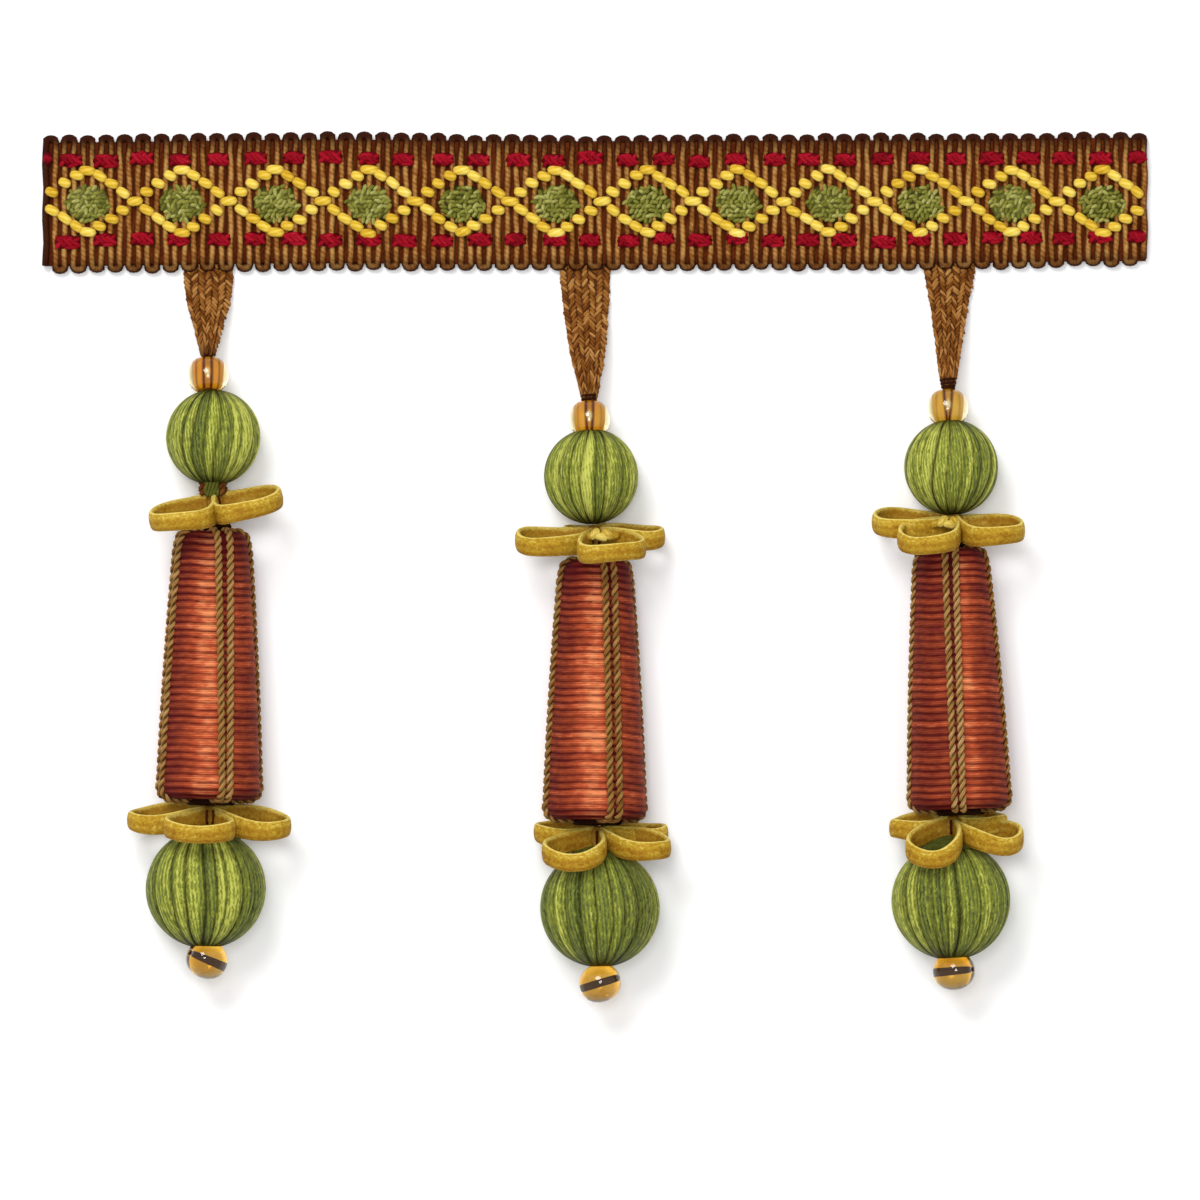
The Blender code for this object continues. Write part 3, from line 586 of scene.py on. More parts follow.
dash_x = np.append(np.tile(DASH_START + DASH_PITCH * np.arange(DASHES), 2), CUT_DASH["x"])
dash_x = np.minimum(dash_x + eased(dash_x, FIGURE_SLIP), LAST_DASH["x"])
dash_y = np.append(np.repeat(DASH_ROWS, DASHES), DASH_ROWS[0])
dash_count = len(dash_x)
drift = np.where(dash_y > 0, eased(dash_x, UPPER_DRIFT), eased(dash_x, LOWER_DRIFT))
dash_centre = points(dash_x, dash_y + 0.6 * drift, DASH_MIDDLE)
dash_centre[:, :2] += dice.normal(0, 0.1 * MM, (dash_count, 2))
dash_size = dice.uniform(0.88, 1.1, (dash_count, 1))
dash_size[[DASHES - 1, 2 * DASHES - 1]] = LAST_DASH["size"]
dash_size[-1] = CUT_DASH["size"]
float_centre = np.repeat(dash_centre[:, None], len(DASH_FLOATS), axis=1)
float_centre[..., :2] += DASH_FLOATS[:, :2] * MM * dash_size[..., None]
float_centre[..., 2] += DASH_FLOATS[:, 3] * MM
float_lean = np.tile(DASH_FLOATS[:, 2], dash_count)
float_lean = float_lean + dice.normal(0, 7, len(float_lean))
dash_rings = floats(float_centre.reshape(-1, 3), leaning(float_lean),
                    np.repeat(dash_size.ravel(), len(DASH_FLOATS)) * FLOAT_LENGTH, **DASH_FLOAT)
bed_rings = floats(dash_centre - (0.0, 0.0, BED_SINK), leaning(np.zeros(dash_count)),
                   dash_size.ravel() * BED_LENGTH, **BED)
red_yarn = yarn_material(
    "red_yarn", ((90, 2, 10), (130, 5, 22), (158, 12, 32), (190, 34, 52)), 0.6,
    turns=1.0, plies=4.0, depth=0.3, dark=(56, 0, 8))
# The beds carry painted shade (0.75), the floats none.
dashes = skin("red_dashes", np.concatenate([dash_rings, bed_rings]), red_yarn, "red_winding",
              tone=own_tones(len(dash_rings) + dash_count),
              shade=np.repeat([0.0, 0.75], [len(dash_rings), dash_count])[:, None])


# Tabs
# Each drop hangs on a strip of brown braid, sewn under the band's edge. Its floats lean
# by turns left and right in columns, as herringbone, and it is gathered to a round point,
# whipped with a few turns of dark thread on two of the drops.
SIDES = ("left", "middle", "right")
TAB_ROWS = {
    "left": ((-42.5, -4.6, 0.28, 5.3, 0.55), (-42.5, -7.4, 0.35, 5.3, 0.6),
             (-42.5, -10.7, 1.0, 4.8, 0.8), (-42.5, -12.9, 2.0, 3.5, 1.2),
             (-42.5, -15.0, 2.9, 2.4, 1.5), (-42.5, -16.8, 3.65, 1.35, 1.5)),
    "middle": ((-1.1, -4.6, 0.28, 5.5, 0.55), (-1.1, -7.4, 0.35, 5.5, 0.6),
               (-1.0, -11.5, 0.9, 4.9, 0.7), (-0.85, -16.2, 2.5, 3.8, 1.1),
               (-0.7, -20.1, 3.5, 2.2, 1.5), (-0.65, -22.1, 3.9, 1.1, 1.3)),
    "right": ((38.95, -4.6, 0.28, 5.5, 0.55), (38.95, -7.4, 0.35, 5.5, 0.6),
              (38.9, -11.5, 1.0, 4.0, 0.9), (38.8, -16.2, 2.6, 2.6, 1.4),
              (38.75, -18.7, 3.4, 1.9, 1.5), (38.75, -20.6, 3.85, 1.0, 1.3)),
}
TAB_COLUMNS = 7
TAB_STATIONS = 130
TAB_CORE = {"sides": 14, "squareness": 0.7}
TAB_CORE_SHARES = (0.5, 0.42)
TAB_SPREAD = 0.52
FULL_LEAN_WIDTH = 4.6 * MM
FULL_FLOAT_WIDTH = 5.3 * MM
TAB_FLOAT = {"half_height": 0.2 * MM, "arch": 0.1 * MM, "stations": 7, "sides": 6}
TAB_FLOAT_LENGTH = 1.15 * MM
TAB_FLOAT_SPACING = 0.5 * MM
TAB_FLOAT_LEAN = 36.0
GATHERED = 1.8 * MM
WHIPPING = {"middle": (-21.15, 0.78), "right": (-19.4, 0.8)}
WHIPPING_TURNS = 3
WHIPPING_RADIUS = 0.2 * MM


def smooth_rows(rows, count):
    """Rows of a table joined by a smooth curve: a cubic between rows, read evenly."""
    rows = np.array(rows)
    slope = np.gradient(rows, axis=0)
    spot = np.linspace(0, len(rows) - 1, count)
    slot = np.minimum(spot.astype(int), len(rows) - 2)
    t = (spot - slot)[:, None]
    return ((2 * t**3 - 3 * t**2 + 1) * rows[slot] + (t**3 - 2 * t**2 + t) * slope[slot]
            + (3 * t**2 - 2 * t**3) * rows[slot + 1] + (t**3 - t**2) * slope[slot + 1])


def tube(path, up, radius, sides):
    """Rings of a round tube."""
    return sweep(path, up, radius, radius, sides)


def half_round(share):
    """The height of a half circle of radius one, at shares from -1 to 1 across it."""
    return np.sqrt(clamp(1 - share**2))


def add_tab(side):
    """A tab: a smooth ribbon under columns of short floats, on both of its faces. The
    ribbon is darkened as painted shade, for it shows only between the floats.

    A float's place across is a share u of the half width, and it stands off the ribbon's
    middle by half the thickness times the root of 1 - u^2, so the point becomes round.
    """
    rows = smooth_rows(TAB_ROWS[side], TAB_STATIONS) * MM
    middle = rows[:, :3]
    core = sweep(middle[None], UP, *(rows[:, 3:] * TAB_CORE_SHARES).T, **TAB_CORE)
    # The ribbon gets painted shade (0.75), for the gaps between the floats.
    skin(f"tab_ribbon_{side}", core, brown_braid, "tab_braid", f"tab_{side}", tone=0.2, shade=0.75)
    travel = run_along(np.linalg.norm(np.diff(middle, axis=0), axis=1))
    steps = np.arange(0.4 * MM, travel[-1] - 0.2 * MM, TAB_FLOAT_SPACING)
    place, row, face = (grid.ravel() for grid in np.meshgrid(
        np.arange(TAB_COLUMNS), np.arange(len(steps)), (1.0, -1.0), indexing="ij"))
    count = len(row)
    spot = steps[row] + TAB_FLOAT_SPACING / 2 * (place % 2) + dice.normal(0, 0.05 * MM, count)
    here = points(*(np.interp(spot, travel, column) for column in rows.T))
    half_width, half_thickness = here[:, 3], here[:, 4] / 2
    along = unit(points(*(np.interp(spot, travel, np.gradient(column)) for column in middle.T)))
    sideways = unit(np.cross(along, UP))
    normal = np.cross(sideways, along) * face[:, None]
    share = (place + 0.5) / TAB_COLUMNS * 2 - 1 + dice.normal(0, 0.02, count)
    lean = np.radians(TAB_FLOAT_LEAN * (-1.0) ** place + dice.normal(0, 7, count))
    lean = lean * np.clip(half_width / FULL_LEAN_WIDTH, 0.35, 1.0)
    stand = half_thickness * half_round(share) * 0.95
    centre = (here[:, :3] - sideways * (share * half_width * TAB_SPREAD)[:, None]
              + normal * stand[:, None])
    away = unit(normal * (1.05 - share**2)[:, None] - sideways * share[:, None] * 0.5)
    wide = np.clip(half_width / FULL_FLOAT_WIDTH, 0.55, 1.0) * 0.22 * MM
    rings = floats(centre, around(along, -sideways, lean),
                   TAB_FLOAT_LENGTH * dice.uniform(0.8, 1.2, count), wide, up=away, **TAB_FLOAT)
    rings[..., 2] = np.maximum(rings[..., 2], 0.01 * MM)
    gathered = 0.7 * clamp((spot - travel[-1]) / GATHERED + 1)
    skin(f"tab_braid_{side}", rings, brown_braid, "tab_braid",
         tone=own_tones(count), shade=gathered[:, None])


def add_whipping(side):
    """A few turns of dark thread round a tab's point: a helix that tightens and rises."""
    y, reach = WHIPPING[side]
    rows = smooth_rows(TAB_ROWS[side], TAB_STATIONS)
    middle_x, height = (np.interp(-y, -rows[:, 1], rows[:, axis]) for axis in (0, 2))
    angle = np.linspace(0, WHIPPING_TURNS * 2 * np.pi, 30 * WHIPPING_TURNS)
    reach = reach - 0.012 * angle
    path = points(middle_x + reach * np.cos(angle), y - 0.06 * angle,
                  height + 0.02 * angle + 0.95 * reach * np.sin(angle)) * MM
    outward = points(np.cos(angle), 0.0, np.sin(angle))
    rings = tube(path[None], outward[None], WHIPPING_RADIUS, 8)
    skin(f"whipping_{side}", rings, dark_thread, "thread", shade=0.6)


brown_braid = yarn_material(
    "brown_braid", ((84, 40, 6), (124, 72, 24), (162, 108, 50), (196, 148, 86)), 0.55,
    turns=1.4, plies=4.0, depth=0.35, weights=(0.35, 0.15, 0.5), dark=(50, 20, 3))
dark_thread = yarn_material(
    "dark_thread", ((40, 14, 4), (66, 28, 8), (100, 50, 18)), 0.7, turns=2.0, plies=3.0,
    dark=(22, 5, 1))
for side in SIDES:
    add_tab(side)
for side in WHIPPING:
    add_whipping(side)


# Glass beads
# A pressed bead of pale clear glass, lined with amber, strings each drop. A round amber
# bead closes it: that one is strung crosswise, and its dark thread shows through it.
BEAD_AROUND = 56
BEAD_PROFILE = 40
UPPER_BEAD = {"hole": 1.09 * MM, "radius": 2.2 * MM, "half_length": 1.8 * MM, "square": 1.0}
UPPER_BEADS = {
    "left": {"lines": (19.0, 19.0), "lower": 0.5, "side_line": 0.6, "lining": "amber_lining"},
    "middle": {"lines": (18.0, 12.0), "lower": 0.9, "side_line": 0.3, "lining": "amber_lining"},
    "right": {"lines": (22.0, 5.0), "lower": 0.8, "side_line": 0.3, "lining": "straw_lining"},
}
BEAD_TILT = 0.9 * MM
LINING = 1.12 * MM
LINING_HALF_LENGTH = 1.75 * MM
LINING_AROUND = 72
LINING_STATIONS = 12
LINE_WIDTH = 8.0
SIDE_LINE_AT = 62.0
SIDE_LINE_WIDTH = 7.0
PAINTED_GLINT = (12.0, 0.26)
BEAD_THREAD = {"radius": 0.55 * MM, "pitch": 1.6 * MM}
BEAD_THREAD_HALF_LENGTH = 2.1 * MM
END_BEAD = {"hole": 0.26 * MM, "radius": 2.1 * MM, "half_length": 2.25 * MM, "square": 0.97}
END_BEADS = {"left": (-24.0, -0.6, 0.75), "middle": (17.0, 0.1, 0.35), "right": (6.0, 0.5, 0.5)}
END_THREAD = {"radius": 0.29 * MM, "sides": 20}
END_THREAD_HALF_LENGTH = 2.2 * MM


def centre_of(node):
    """The middle of a solid's box."""
    return np.mean(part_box(node), axis=0)


def straight(centre, axis, half_length, stations=24):
    """A straight path along an axis, centred on a point."""
    return (centre + axis * np.linspace(-half_length, half_length, stations)[:, None])[None]


def twisted(path, up, radius, pitch):
    """Rings of two-ply cords: strands that wind round each path in a helix.

    A strand's centre is the path's point plus nearly half the cord's radius, turned round
    the path by one turn for each pitch of length, and its own radius is a little over half.
    """
    sideways, upright = path_frame(path, up)
    length = run_along(np.linalg.norm(np.diff(path, axis=1), axis=-1))
    strands = []
    for start in (0.0, np.pi):
        outward = around(sideways, upright, 2 * np.pi * length / pitch + start)
        strands.append(sweep(path + outward * (0.46 * radius), outward, 0.56 * radius,
                             0.54 * radius, 6))
    return np.concatenate(strands)


def bead(name, glass, node, centre, axis, hole, radius, half_length, square):
    """A bead: a rounded section of its wall, carried once round the hole.

    The section's reach and length follow the cosine and sine of the lap round it, raised
    to the power square: 1 makes a round bead, and less makes a barrel.
    """
    across = unit(np.cross(axis, UP))
    outward = around(across, np.cross(across, axis), ring_angles(BEAD_AROUND))
    out, height = rounded(ring_angles(BEAD_PROFILE), square)
    reach = hole + (radius - hole) * np.maximum(out, 0.0)
    length = half_length * height * np.where(out > 0, 1.0, 1 - 0.03 * np.abs(out))
    rings = centre + outward[:, None] * reach[:, None] + axis * length[:, None]
    skin(name, rings[None], glass, "amber_glass", node, round_trip=True)


def glass_material(name, colours, clear):
    """Tinted glass whose colour is stirred a little by noise through its body."""
    material, nodes, link, shader = new_material(name, 0.03, 0.5)
    preset(shader, IOR=1.5, Transmission_Weight=clear)
    coordinates, noise = nodes.new("ShaderNodeTexCoord"), nodes.new("ShaderNodeTexNoise")
    preset(noise, Scale=500.0)
    link(coordinates.outputs["Object"], noise.inputs["Vector"])
    tints = [(*(np.array(linear(*tint)[:3]) * OVEREXPOSURE), 1.0) for tint in colours]
    link(colour_ramp(nodes, link, noise.outputs["Fac"], tints, 0.35, 0.65),
         shader.inputs["Base Color"])
    return material


def add_upper_bead(side):
    """A lined bead: clear glass round a lining with two pairs of dark lines along it.

    The inner pair stands at angles either side of straight up, one angle for the top end
    and one for the bottom end. These lines are painted: they stand for the hole's edges
    and the thread as the glass bends them into view. Between them the lining is a little
    darker, and a pale spot there is a painted highlight.
    """
    look = UPPER_BEADS[side]
    (_, low_y, _), (_, high_y, _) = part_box(f"thread_{side}")
    centre = centre_of(f"upper_bead_{side}") - (0.0, look["lower"] * MM, 0.0)
    axis = unit(np.array([0.0, low_y - high_y, BEAD_TILT]))
    bead(f"upper_glass_bead_{side}", clear_glass, f"upper_bead_{side}", centre, axis,
         **UPPER_BEAD)
    span = np.linspace(-1.0, 1.0, LINING_STATIONS)
    rings = tube(straight(centre, axis, LINING_HALF_LENGTH, LINING_STATIONS), UP,
                 LINING * (1 - 0.02 * span**4), LINING_AROUND)
    lean = np.abs((np.degrees(ring_angles(LINING_AROUND)) + 90) % 360 - 180)
    first, last = look["lines"]
    # Painted light on the lining: dark lines for the hole's edges and thread seen through the
    # glass, a darker field between them and a painted highlight spot.
    line = first + (last - first) * (span[:, None] + 1) / 2
    side_line = look["side_line"] * clamp(1.5 - np.abs(lean - SIDE_LINE_AT) / SIDE_LINE_WIDTH)
    shade = np.maximum(clamp(1.5 - np.abs(lean - line) / LINE_WIDTH), side_line)
    painted_glint = clamp(1.5 - np.hypot(lean / PAINTED_GLINT[0], span[:, None] / PAINTED_GLINT[1]))
    shade = np.maximum(shade, 0.35 * (lean < line)) * (1 - painted_glint)
    skin(f"bead_lining_{side}", rings, linings[look["lining"]], "amber_glass",
         tone=0.4 + 0.6 * painted_glint[None], shade=shade[None])
    thread_path = straight(centre, axis, BEAD_THREAD_HALF_LENGTH)
    skin(f"bead_thread_{side}", twisted(thread_path, UP, **BEAD_THREAD), dark_thread, "thread",
         f"thread_{side}")


def add_end_bead(side):
    """A round bead strung crosswise, with the thread that runs through it."""
    degrees, rise, higher = END_BEADS[side]
    centre = centre_of(f"end_bead_{side}") + (0.0, higher * MM, 0.0)
    axis = unit(np.array([np.cos(np.radians(degrees)), np.sin(np.radians(degrees)), rise]))
    bead(f"end_glass_bead_{side}", amber_glass, f"end_bead_{side}", centre, axis, **END_BEAD)
    thread_path = straight(centre, axis, END_THREAD_HALF_LENGTH)
    skin(f"end_thread_{side}", tube(thread_path, UP, **END_THREAD), dark_thread, "thread",
         shade=0.7)


clear_glass = glass_material("clear_glass", ((244, 224, 156), (252, 240, 196)), 1.0)
amber_glass = glass_material("amber_glass", ((224, 152, 24), (250, 200, 80)), 0.97)
linings = {
    name: yarn_material(name, colours, 0.3, turns=0.0, plies=0.0, weights=(0.1, 0.3, 0.7),
                        dark=dark)
    for name, colours, dark in (
        ("amber_lining", ((250, 146, 4), (255, 168, 12), (255, 200, 70), (255, 250, 230)),
         (112, 28, 6)),
        ("straw_lining", ((250, 176, 24), (255, 192, 40), (255, 216, 110), (255, 252, 240)),
         (116, 46, 12)))
}
for side in SIDES:
    add_upper_bead(side)
    add_end_bead(side)


# Wound balls
# Green floss is laid from pole to pole over a round core, a bundle at a time, so the ball
# has melon-like lobes of uneven width and tone that sink together at both poles. Painted
# shade darkens the valleys between lobes, both poles and the lower half.
BALL_LOBES = 22
BALL_AROUND = 308
BALL_STATIONS = 50
BALL_FULLER = 0.15 * MM
BALL_SHIFT = {
    "small_ball_left": (0.28, -0.17), "small_ball_middle": (-0.1, -0.19),
    "small_ball_right": (-0.1, -0.35), "big_ball_left": (0.18, 0.0),
    "big_ball_middle": (0.0, 0.12), "big_ball_right": (-0.2, -0.22),
}
POLE_GAP = 0.07
LOBE_WAVES = (2, 3, 5, 9)
LOBE_WAVE_HEIGHT = 0.035
LOBE_WANDER = 0.06
LOBE_DEPTH = 0.4 * MM
FLOSS_DEPTH = 0.05 * MM
FLOSS_PER_LOBE = 3


def across_line(down):
    """The right and up directions of a line that runs down a drop."""
    right = unit(np.array([1.0, 0.0, 0.0]) - down * down[0])
    return right, -np.cross(right, down)


def drop_frame(side):
    """A drop's line through the middles of its two balls: right, up and down the drop."""
    down = unit(centre_of(f"big_ball_{side}") - centre_of(f"small_ball_{side}"))
    return (*across_line(down), down)


def add_ball(side, size):
    """A ball: a sphere whose radius follows round lobes, each a half circle across.

    The angle round the ball is bent by a few slow waves, so lobes differ in width, and
    drifts a little from pole to pole, as hand-laid floss does.
    """
    node = f"{size}_ball_{side}"
    low, high = np.array(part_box(node))
    right, up, down = drop_frame(side)
    centre = (low + high) / 2 + np.array([*BALL_SHIFT[node], 0.0]) * MM
    radius, polar, _ = (high - low) / 2 + BALL_FULLER
    swing = np.linspace(POLE_GAP, np.pi - POLE_GAP, BALL_STATIONS)
    turn = ring_angles(BALL_AROUND)
    starts = dice.uniform(0, 2 * np.pi, len(LOBE_WAVES))
    bent = turn + sum(LOBE_WAVE_HEIGHT * np.sin(count * turn + start)
                      for count, start in zip(LOBE_WAVES, starts))
    wander = LOBE_WANDER * np.sin(swing * 2 + starts[0])[:, None]
    phase = (bent[None] + wander) * BALL_LOBES / (2 * np.pi)
    lobe = np.floor(phase).astype(int) % BALL_LOBES
    dome = half_round(2 * (phase % 1.0) - 1)
    floss = np.abs(np.sin(np.pi * FLOSS_PER_LOBE * (phase % 1.0)))
    lobe_height = dice.uniform(0.75, 1.15, BALL_LOBES)[lobe]
    fade = clamp(np.sin(swing) * 1.6)[:, None]
    reach = radius - LOBE_DEPTH * (fade * (1 - dome * lobe_height) + 0.15)
    reach = reach + FLOSS_DEPTH * fade * floss
    flat = np.sin(swing)[:, None] * reach
    rings = (centre - down * (polar * np.cos(swing))[:, None, None]
             + around(right, up, turn) * flat[..., None])
    rings[..., 2] = np.maximum(rings[..., 2], 0.0)
    tones = np.where(dice.uniform(0, 1, BALL_LOBES) > 0.45, 0.65, 0.2) - 0.25 * (size == "big")
    tones = tones + dice.uniform(-0.25, 0.25, BALL_LOBES)
    strand = np.floor(phase * FLOSS_PER_LOBE).astype(int) % (BALL_LOBES * FLOSS_PER_LOBE)
    strand_tone = dice.uniform(-0.5, 0.5, BALL_LOBES * FLOSS_PER_LOBE)[strand]
    # Painted shade: darker towards both poles and over the lower half, and in the valleys between
    # lobes.
    pole_and_underside_shade = (np.clip(1.15 - np.sin(swing) * np.where(swing < 1.6, 1.6, 1.75), 0, 0.9)
                  + 0.22 * clamp((swing - 1.9) / 0.8))[:, None]
    valley_shade = clamp(1.1 - dome * 1.15) * dice.uniform(0.3, 1.3, BALL_LOBES)[lobe]
    valley_shade = valley_shade * (1.6 - 0.7 * np.sin(swing))[:, None]
    skin(f"wound_{node}", rings[None], green_floss, "green_floss", node,
         tone=(tones[lobe] + strand_tone)[None], shade=clamp(valley_shade + pole_and_underside_shade)[None])


green_floss = yarn_material(
    "green_floss", ((62, 70, 18), (102, 110, 54), (136, 144, 50), (200, 202, 96)), 0.45,
    turns=0.2, plies=88.0, depth=0.7, wander=1.1, streaks=(1.2, 170.0),
    weights=(0.6, 0.3, 0.3), dark=(36, 38, 6), mottle=1700.0)
for side in SIDES:
    add_ball(side, "small")
    add_ball(side, "big")


# Rosettes and neck
# A rosette is a length of golden tape folded into four loops and caught in the middle
# with brown thread. The tape is stiff, so each loop stands on edge as a round-ended
# petal, and droops towards the drop's end. The loops underneath are pressed short.
# The tape carries painted light: a highlight along both rims, brightest on the upper one,
# its upper half lighter and its lower half darker, and painted shade on the loops' inner
# faces, near their roots and on the knot in the middle.
LOOPS = {
    ("left", "upper"): ((48, 8.8, 8.0, -0.5), (132, 9.0, 7.4, -0.5),
                        (222, 6.0, 5.0, 1.5), (318, 6.0, 5.0, 1.5)),
    ("left", "lower"): ((99, 9.0, 7.9, -0.6), (9, 9.1, 6.6, 0.7),
                        (189, 9.1, 6.6, 0.7), (279, 5.6, 5.4, 1.1)),
    ("middle", "upper"): ((71, 8.6, 7.7, -0.3), (161, 9.1, 6.2, -0.4),
                          (341, 8.0, 5.4, 0.4), (251, 5.2, 5.2, 0.3)),
    ("middle", "lower"): ((123, 8.2, 7.2, 0.7), (28, 8.6, 5.2, 0.4),
                          (213, 8.0, 5.6, -0.2), (335, 8.2, 4.6, 0.3)),
    ("right", "upper"): ((125, 8.6, 6.8, 0.5), (35, 8.4, 6.6, -0.3),
                         (186, 9.2, 7.4, -0.4), (282, 5.2, 5.0, 1.3)),
    ("right", "lower"): ((116, 8.0, 6.2, 1.7), (25, 8.1, 6.8, 0.9),
                         (200, 7.2, 5.6, 0.4), (325, 6.8, 5.2, 0.0)),
}
ROSETTE_PLACES = {
    ("left", "upper"): (-41.6, -33.1, 10.5),
    ("left", "lower"): (-42.25, -67.5, 0.0),
    ("middle", "upper"): (0.0, -36.9, 0.0),
    ("middle", "lower"): (0.45, -69.75, 0.0),
    ("right", "upper"): (39.5, -35.5, 0.0),
    ("right", "lower"): (39.2, -68.6, 0.0),
}
TAPE_HALF_WIDTH = 0.98 * MM
TAPE_HALF_THICKNESS = 0.38 * MM
TAPE_SIDES = 20
LOOP_STATIONS = 90
ROOT_GAP = 0.22
NOD = 16.0
TEARDROP_FULLEST = 0.77
FLUTTER = 0.12 * MM
KNOT_RADIUS = 1.1 * MM
KNOT_ROUNDING = 1.45 * MM
KNOT_HALF_LENGTH = 1.3 * MM
KNOT_STATIONS = 14
CATCHES = (70.0, 100.0, 250.0)
CATCH_THREAD = 0.14 * MM
TUFTS = {("middle", "upper"): 0.5, ("right", "upper"): -0.9}
TUFT = {"lengths": 1.5 * MM, "half_width": 0.45 * MM, "half_height": 0.42 * MM,
        "arch": 0.2 * MM, "sides": 10}
TUFT_SPOTS = np.array([(-1.3, 2.2, 0.1), (-0.55, 2.5, 0.35), (0.2, 2.6, 0.0), (0.85, 2.5, 0.3),
                       (1.5, 2.1, 0.1)]) * MM
TUFT_LEANS = (15.0, 48.0, -12.0, -40.0, 20.0)
NECK_YARNS = 9
NECK = {"reach": 1.2 * MM, "half_length": 0.75 * MM, "radius": 0.46 * MM, "pitch": 1.6 * MM}
INLAYS = (72.0, 86.0, 100.0, 114.0)
INLAY = {"reach": 1.5 * MM, "half_length": 0.9375 * MM, "radius": 0.3 * MM, "pitch": 2.4 * MM}


def drop_point(side, x, y):
    """The point above (x, y) at the height of a drop's line there."""
    start, end = centre_of(f"small_ball_{side}"), centre_of(f"big_ball_{side}")
    share = (y - start[1]) / (end[1] - start[1])
    return np.array([x, y, start[2] + share * (end[2] - start[2])])


def add_tuft(side, centre, right, up, down):
    """The folded end of the tape, pushed up at the middle of a rosette: five fat floats."""
    places = centre + TUFT_SPOTS @ np.array([right, up, -down])
    along = around(right, -down, np.radians(TUFT_LEANS))
    skin(f"rosette_tuft_{side}", floats(places, along, up=up, **TUFT), gold_tape, "gold_tape",
         tone=np.array([0.3, 0.8, 1.0, 0.6, 0.2])[:, None])


def add_rosette(side, which):
    """Four loops of tape: each runs out and back along a teardrop, on edge to the drop.

    Along a loop the reach is half its length times 1 - cos, and the half width goes as
    sin t times sin of t / 2. The droop grows with the square of the reach, and the whole
    flower nods towards the drop's end on its upper side.
    """
    x, y, tilt = ROSETTE_PLACES[side, which]
    right, up, down = drop_frame(side)
    right, down = around(right, -down, np.radians(tilt)), around(down, right, np.radians(tilt))
    centre = drop_point(side, x * MM, y * MM)
    swing = np.linspace(ROOT_GAP, 2 * np.pi - ROOT_GAP, LOOP_STATIONS)
    inset = TAPE_HALF_THICKNESS
    paths = []
    for degrees, length, width, droop in LOOPS[side, which]:
        angle = np.radians(degrees)
        reach = (length * MM - inset) * (1 - np.cos(swing)) / 2
        across = ((width / 2 * MM - inset) * np.sin(swing) * np.abs(np.sin(swing / 2))
                  / TEARDROP_FULLEST)
        fall = droop * MM * (reach / (length * MM)) ** 2
        flutter = FLUTTER * np.sin(3 * swing + degrees)
        height = reach * np.sin(angle) + across * np.cos(angle)
        nod = np.tan(np.radians(NOD)) * np.where(height > 0, height, 0.7 * height)
        paths.append(centre + around(right, up, angle) * reach[:, None]
                     + around(up, -right, angle) * across[:, None]
                     + down * (fall + flutter + nod)[:, None])
    flare = TAPE_HALF_WIDTH * (1 + 0.15 * (1 + np.cos(swing)))
    rings = sweep(np.array(paths), down, TAPE_HALF_THICKNESS, flare, TAPE_SIDES, 0.9)
    lap = ring_angles(TAPE_SIDES)
    # Painted light on the tape: highlights along the rims, the upper half lighter and the lower
    # half darker, and painted shade on the inner faces and near the roots.
    painted_rim_highlight = np.abs(np.sin(lap)) ** 5 * np.where(np.sin(lap) > 0, 0.45, 1.0)
    painted_upper_light = 0.25 * clamp(-np.sin(lap))
    painted_lower_shade = 0.45 * clamp(np.sin(lap))
    inner = 0.4 * clamp(-np.cos(lap))
    root = np.clip(1 - 9 * np.sin(swing / 2) ** 2, 0, 0.6)[None, :, None]
    skin(f"rosette_{which}_{side}", rings, gold_tape, "gold_tape", f"{which}_rosette_{side}",
         tone=(0.15 + painted_upper_light + 0.75 * painted_rim_highlight)[None, None],
         shade=np.maximum(root, np.maximum(painted_lower_shade, inner)))
    knot_span = np.linspace(-KNOT_HALF_LENGTH, KNOT_HALF_LENGTH, KNOT_STATIONS)
    bulge = KNOT_RADIUS * half_round(knot_span / KNOT_ROUNDING)
    knot = tube(straight(centre, down, KNOT_HALF_LENGTH, KNOT_STATIONS), up, bulge, 16)
    # The knot is darkened as painted shade, as it sits among the loops' roots.
    skin(f"rosette_knot_{which}_{side}", knot, gold_tape, "gold_tape", shade=0.7)
    span = np.linspace(-1.0, 1.0, 16)[:, None]
    outward = around(right, up, np.radians(CATCHES))[:, None]
    catches = centre + outward * (1.45 - 0.25 * span**4) * MM + down * 0.7 * MM * span
    skin(f"rosette_stitch_{which}_{side}", tube(catches, up + 0.3 * right, CATCH_THREAD, 8),
         dark_thread, "thread")
    if (side, which) in TUFTS:
        add_tuft(side, centre + right * (TUFTS[side, which] * MM), right, up, down)


def neck_rings(angles, reach, half_length, radius, pitch):
    """Rings of twisted yarns that stand round the left drop's line, one at each angle."""
    right, up, down = drop_frame("left")
    middle = drop_point("left", *centre_of("neck_left")[:2])
    starts = middle + around(right, up, angles)[:, None] * reach
    path = starts + down * np.linspace(-half_length, half_length, 16)[:, None]
    return twisted(path, up + 0.4 * right, radius, pitch)


gold_tape = yarn_material(
    "gold_tape", ((128, 80, 14), (162, 118, 28), (190, 154, 46), (234, 210, 108)), 0.6,
    turns=0.0, plies=7.0, depth=0.6, wander=1.5, streaks=(2.2, 16.0),
    weights=(0.45, 0.36, 0.42), dark=(118, 64, 12), mottle=500.0)
for side, which in LOOPS:
    add_rosette(side, which)
skin("neck_yarns", neck_rings(ring_angles(NECK_YARNS), **NECK), brown_braid, "thread",
     "neck_left", tone=own_tones(2 * NECK_YARNS, 0.6), shade=0.35)
skin("neck_floss", neck_rings(np.radians(INLAYS), **INLAY), green_floss, "green_floss",
     tone=0.4, shade=0.45)


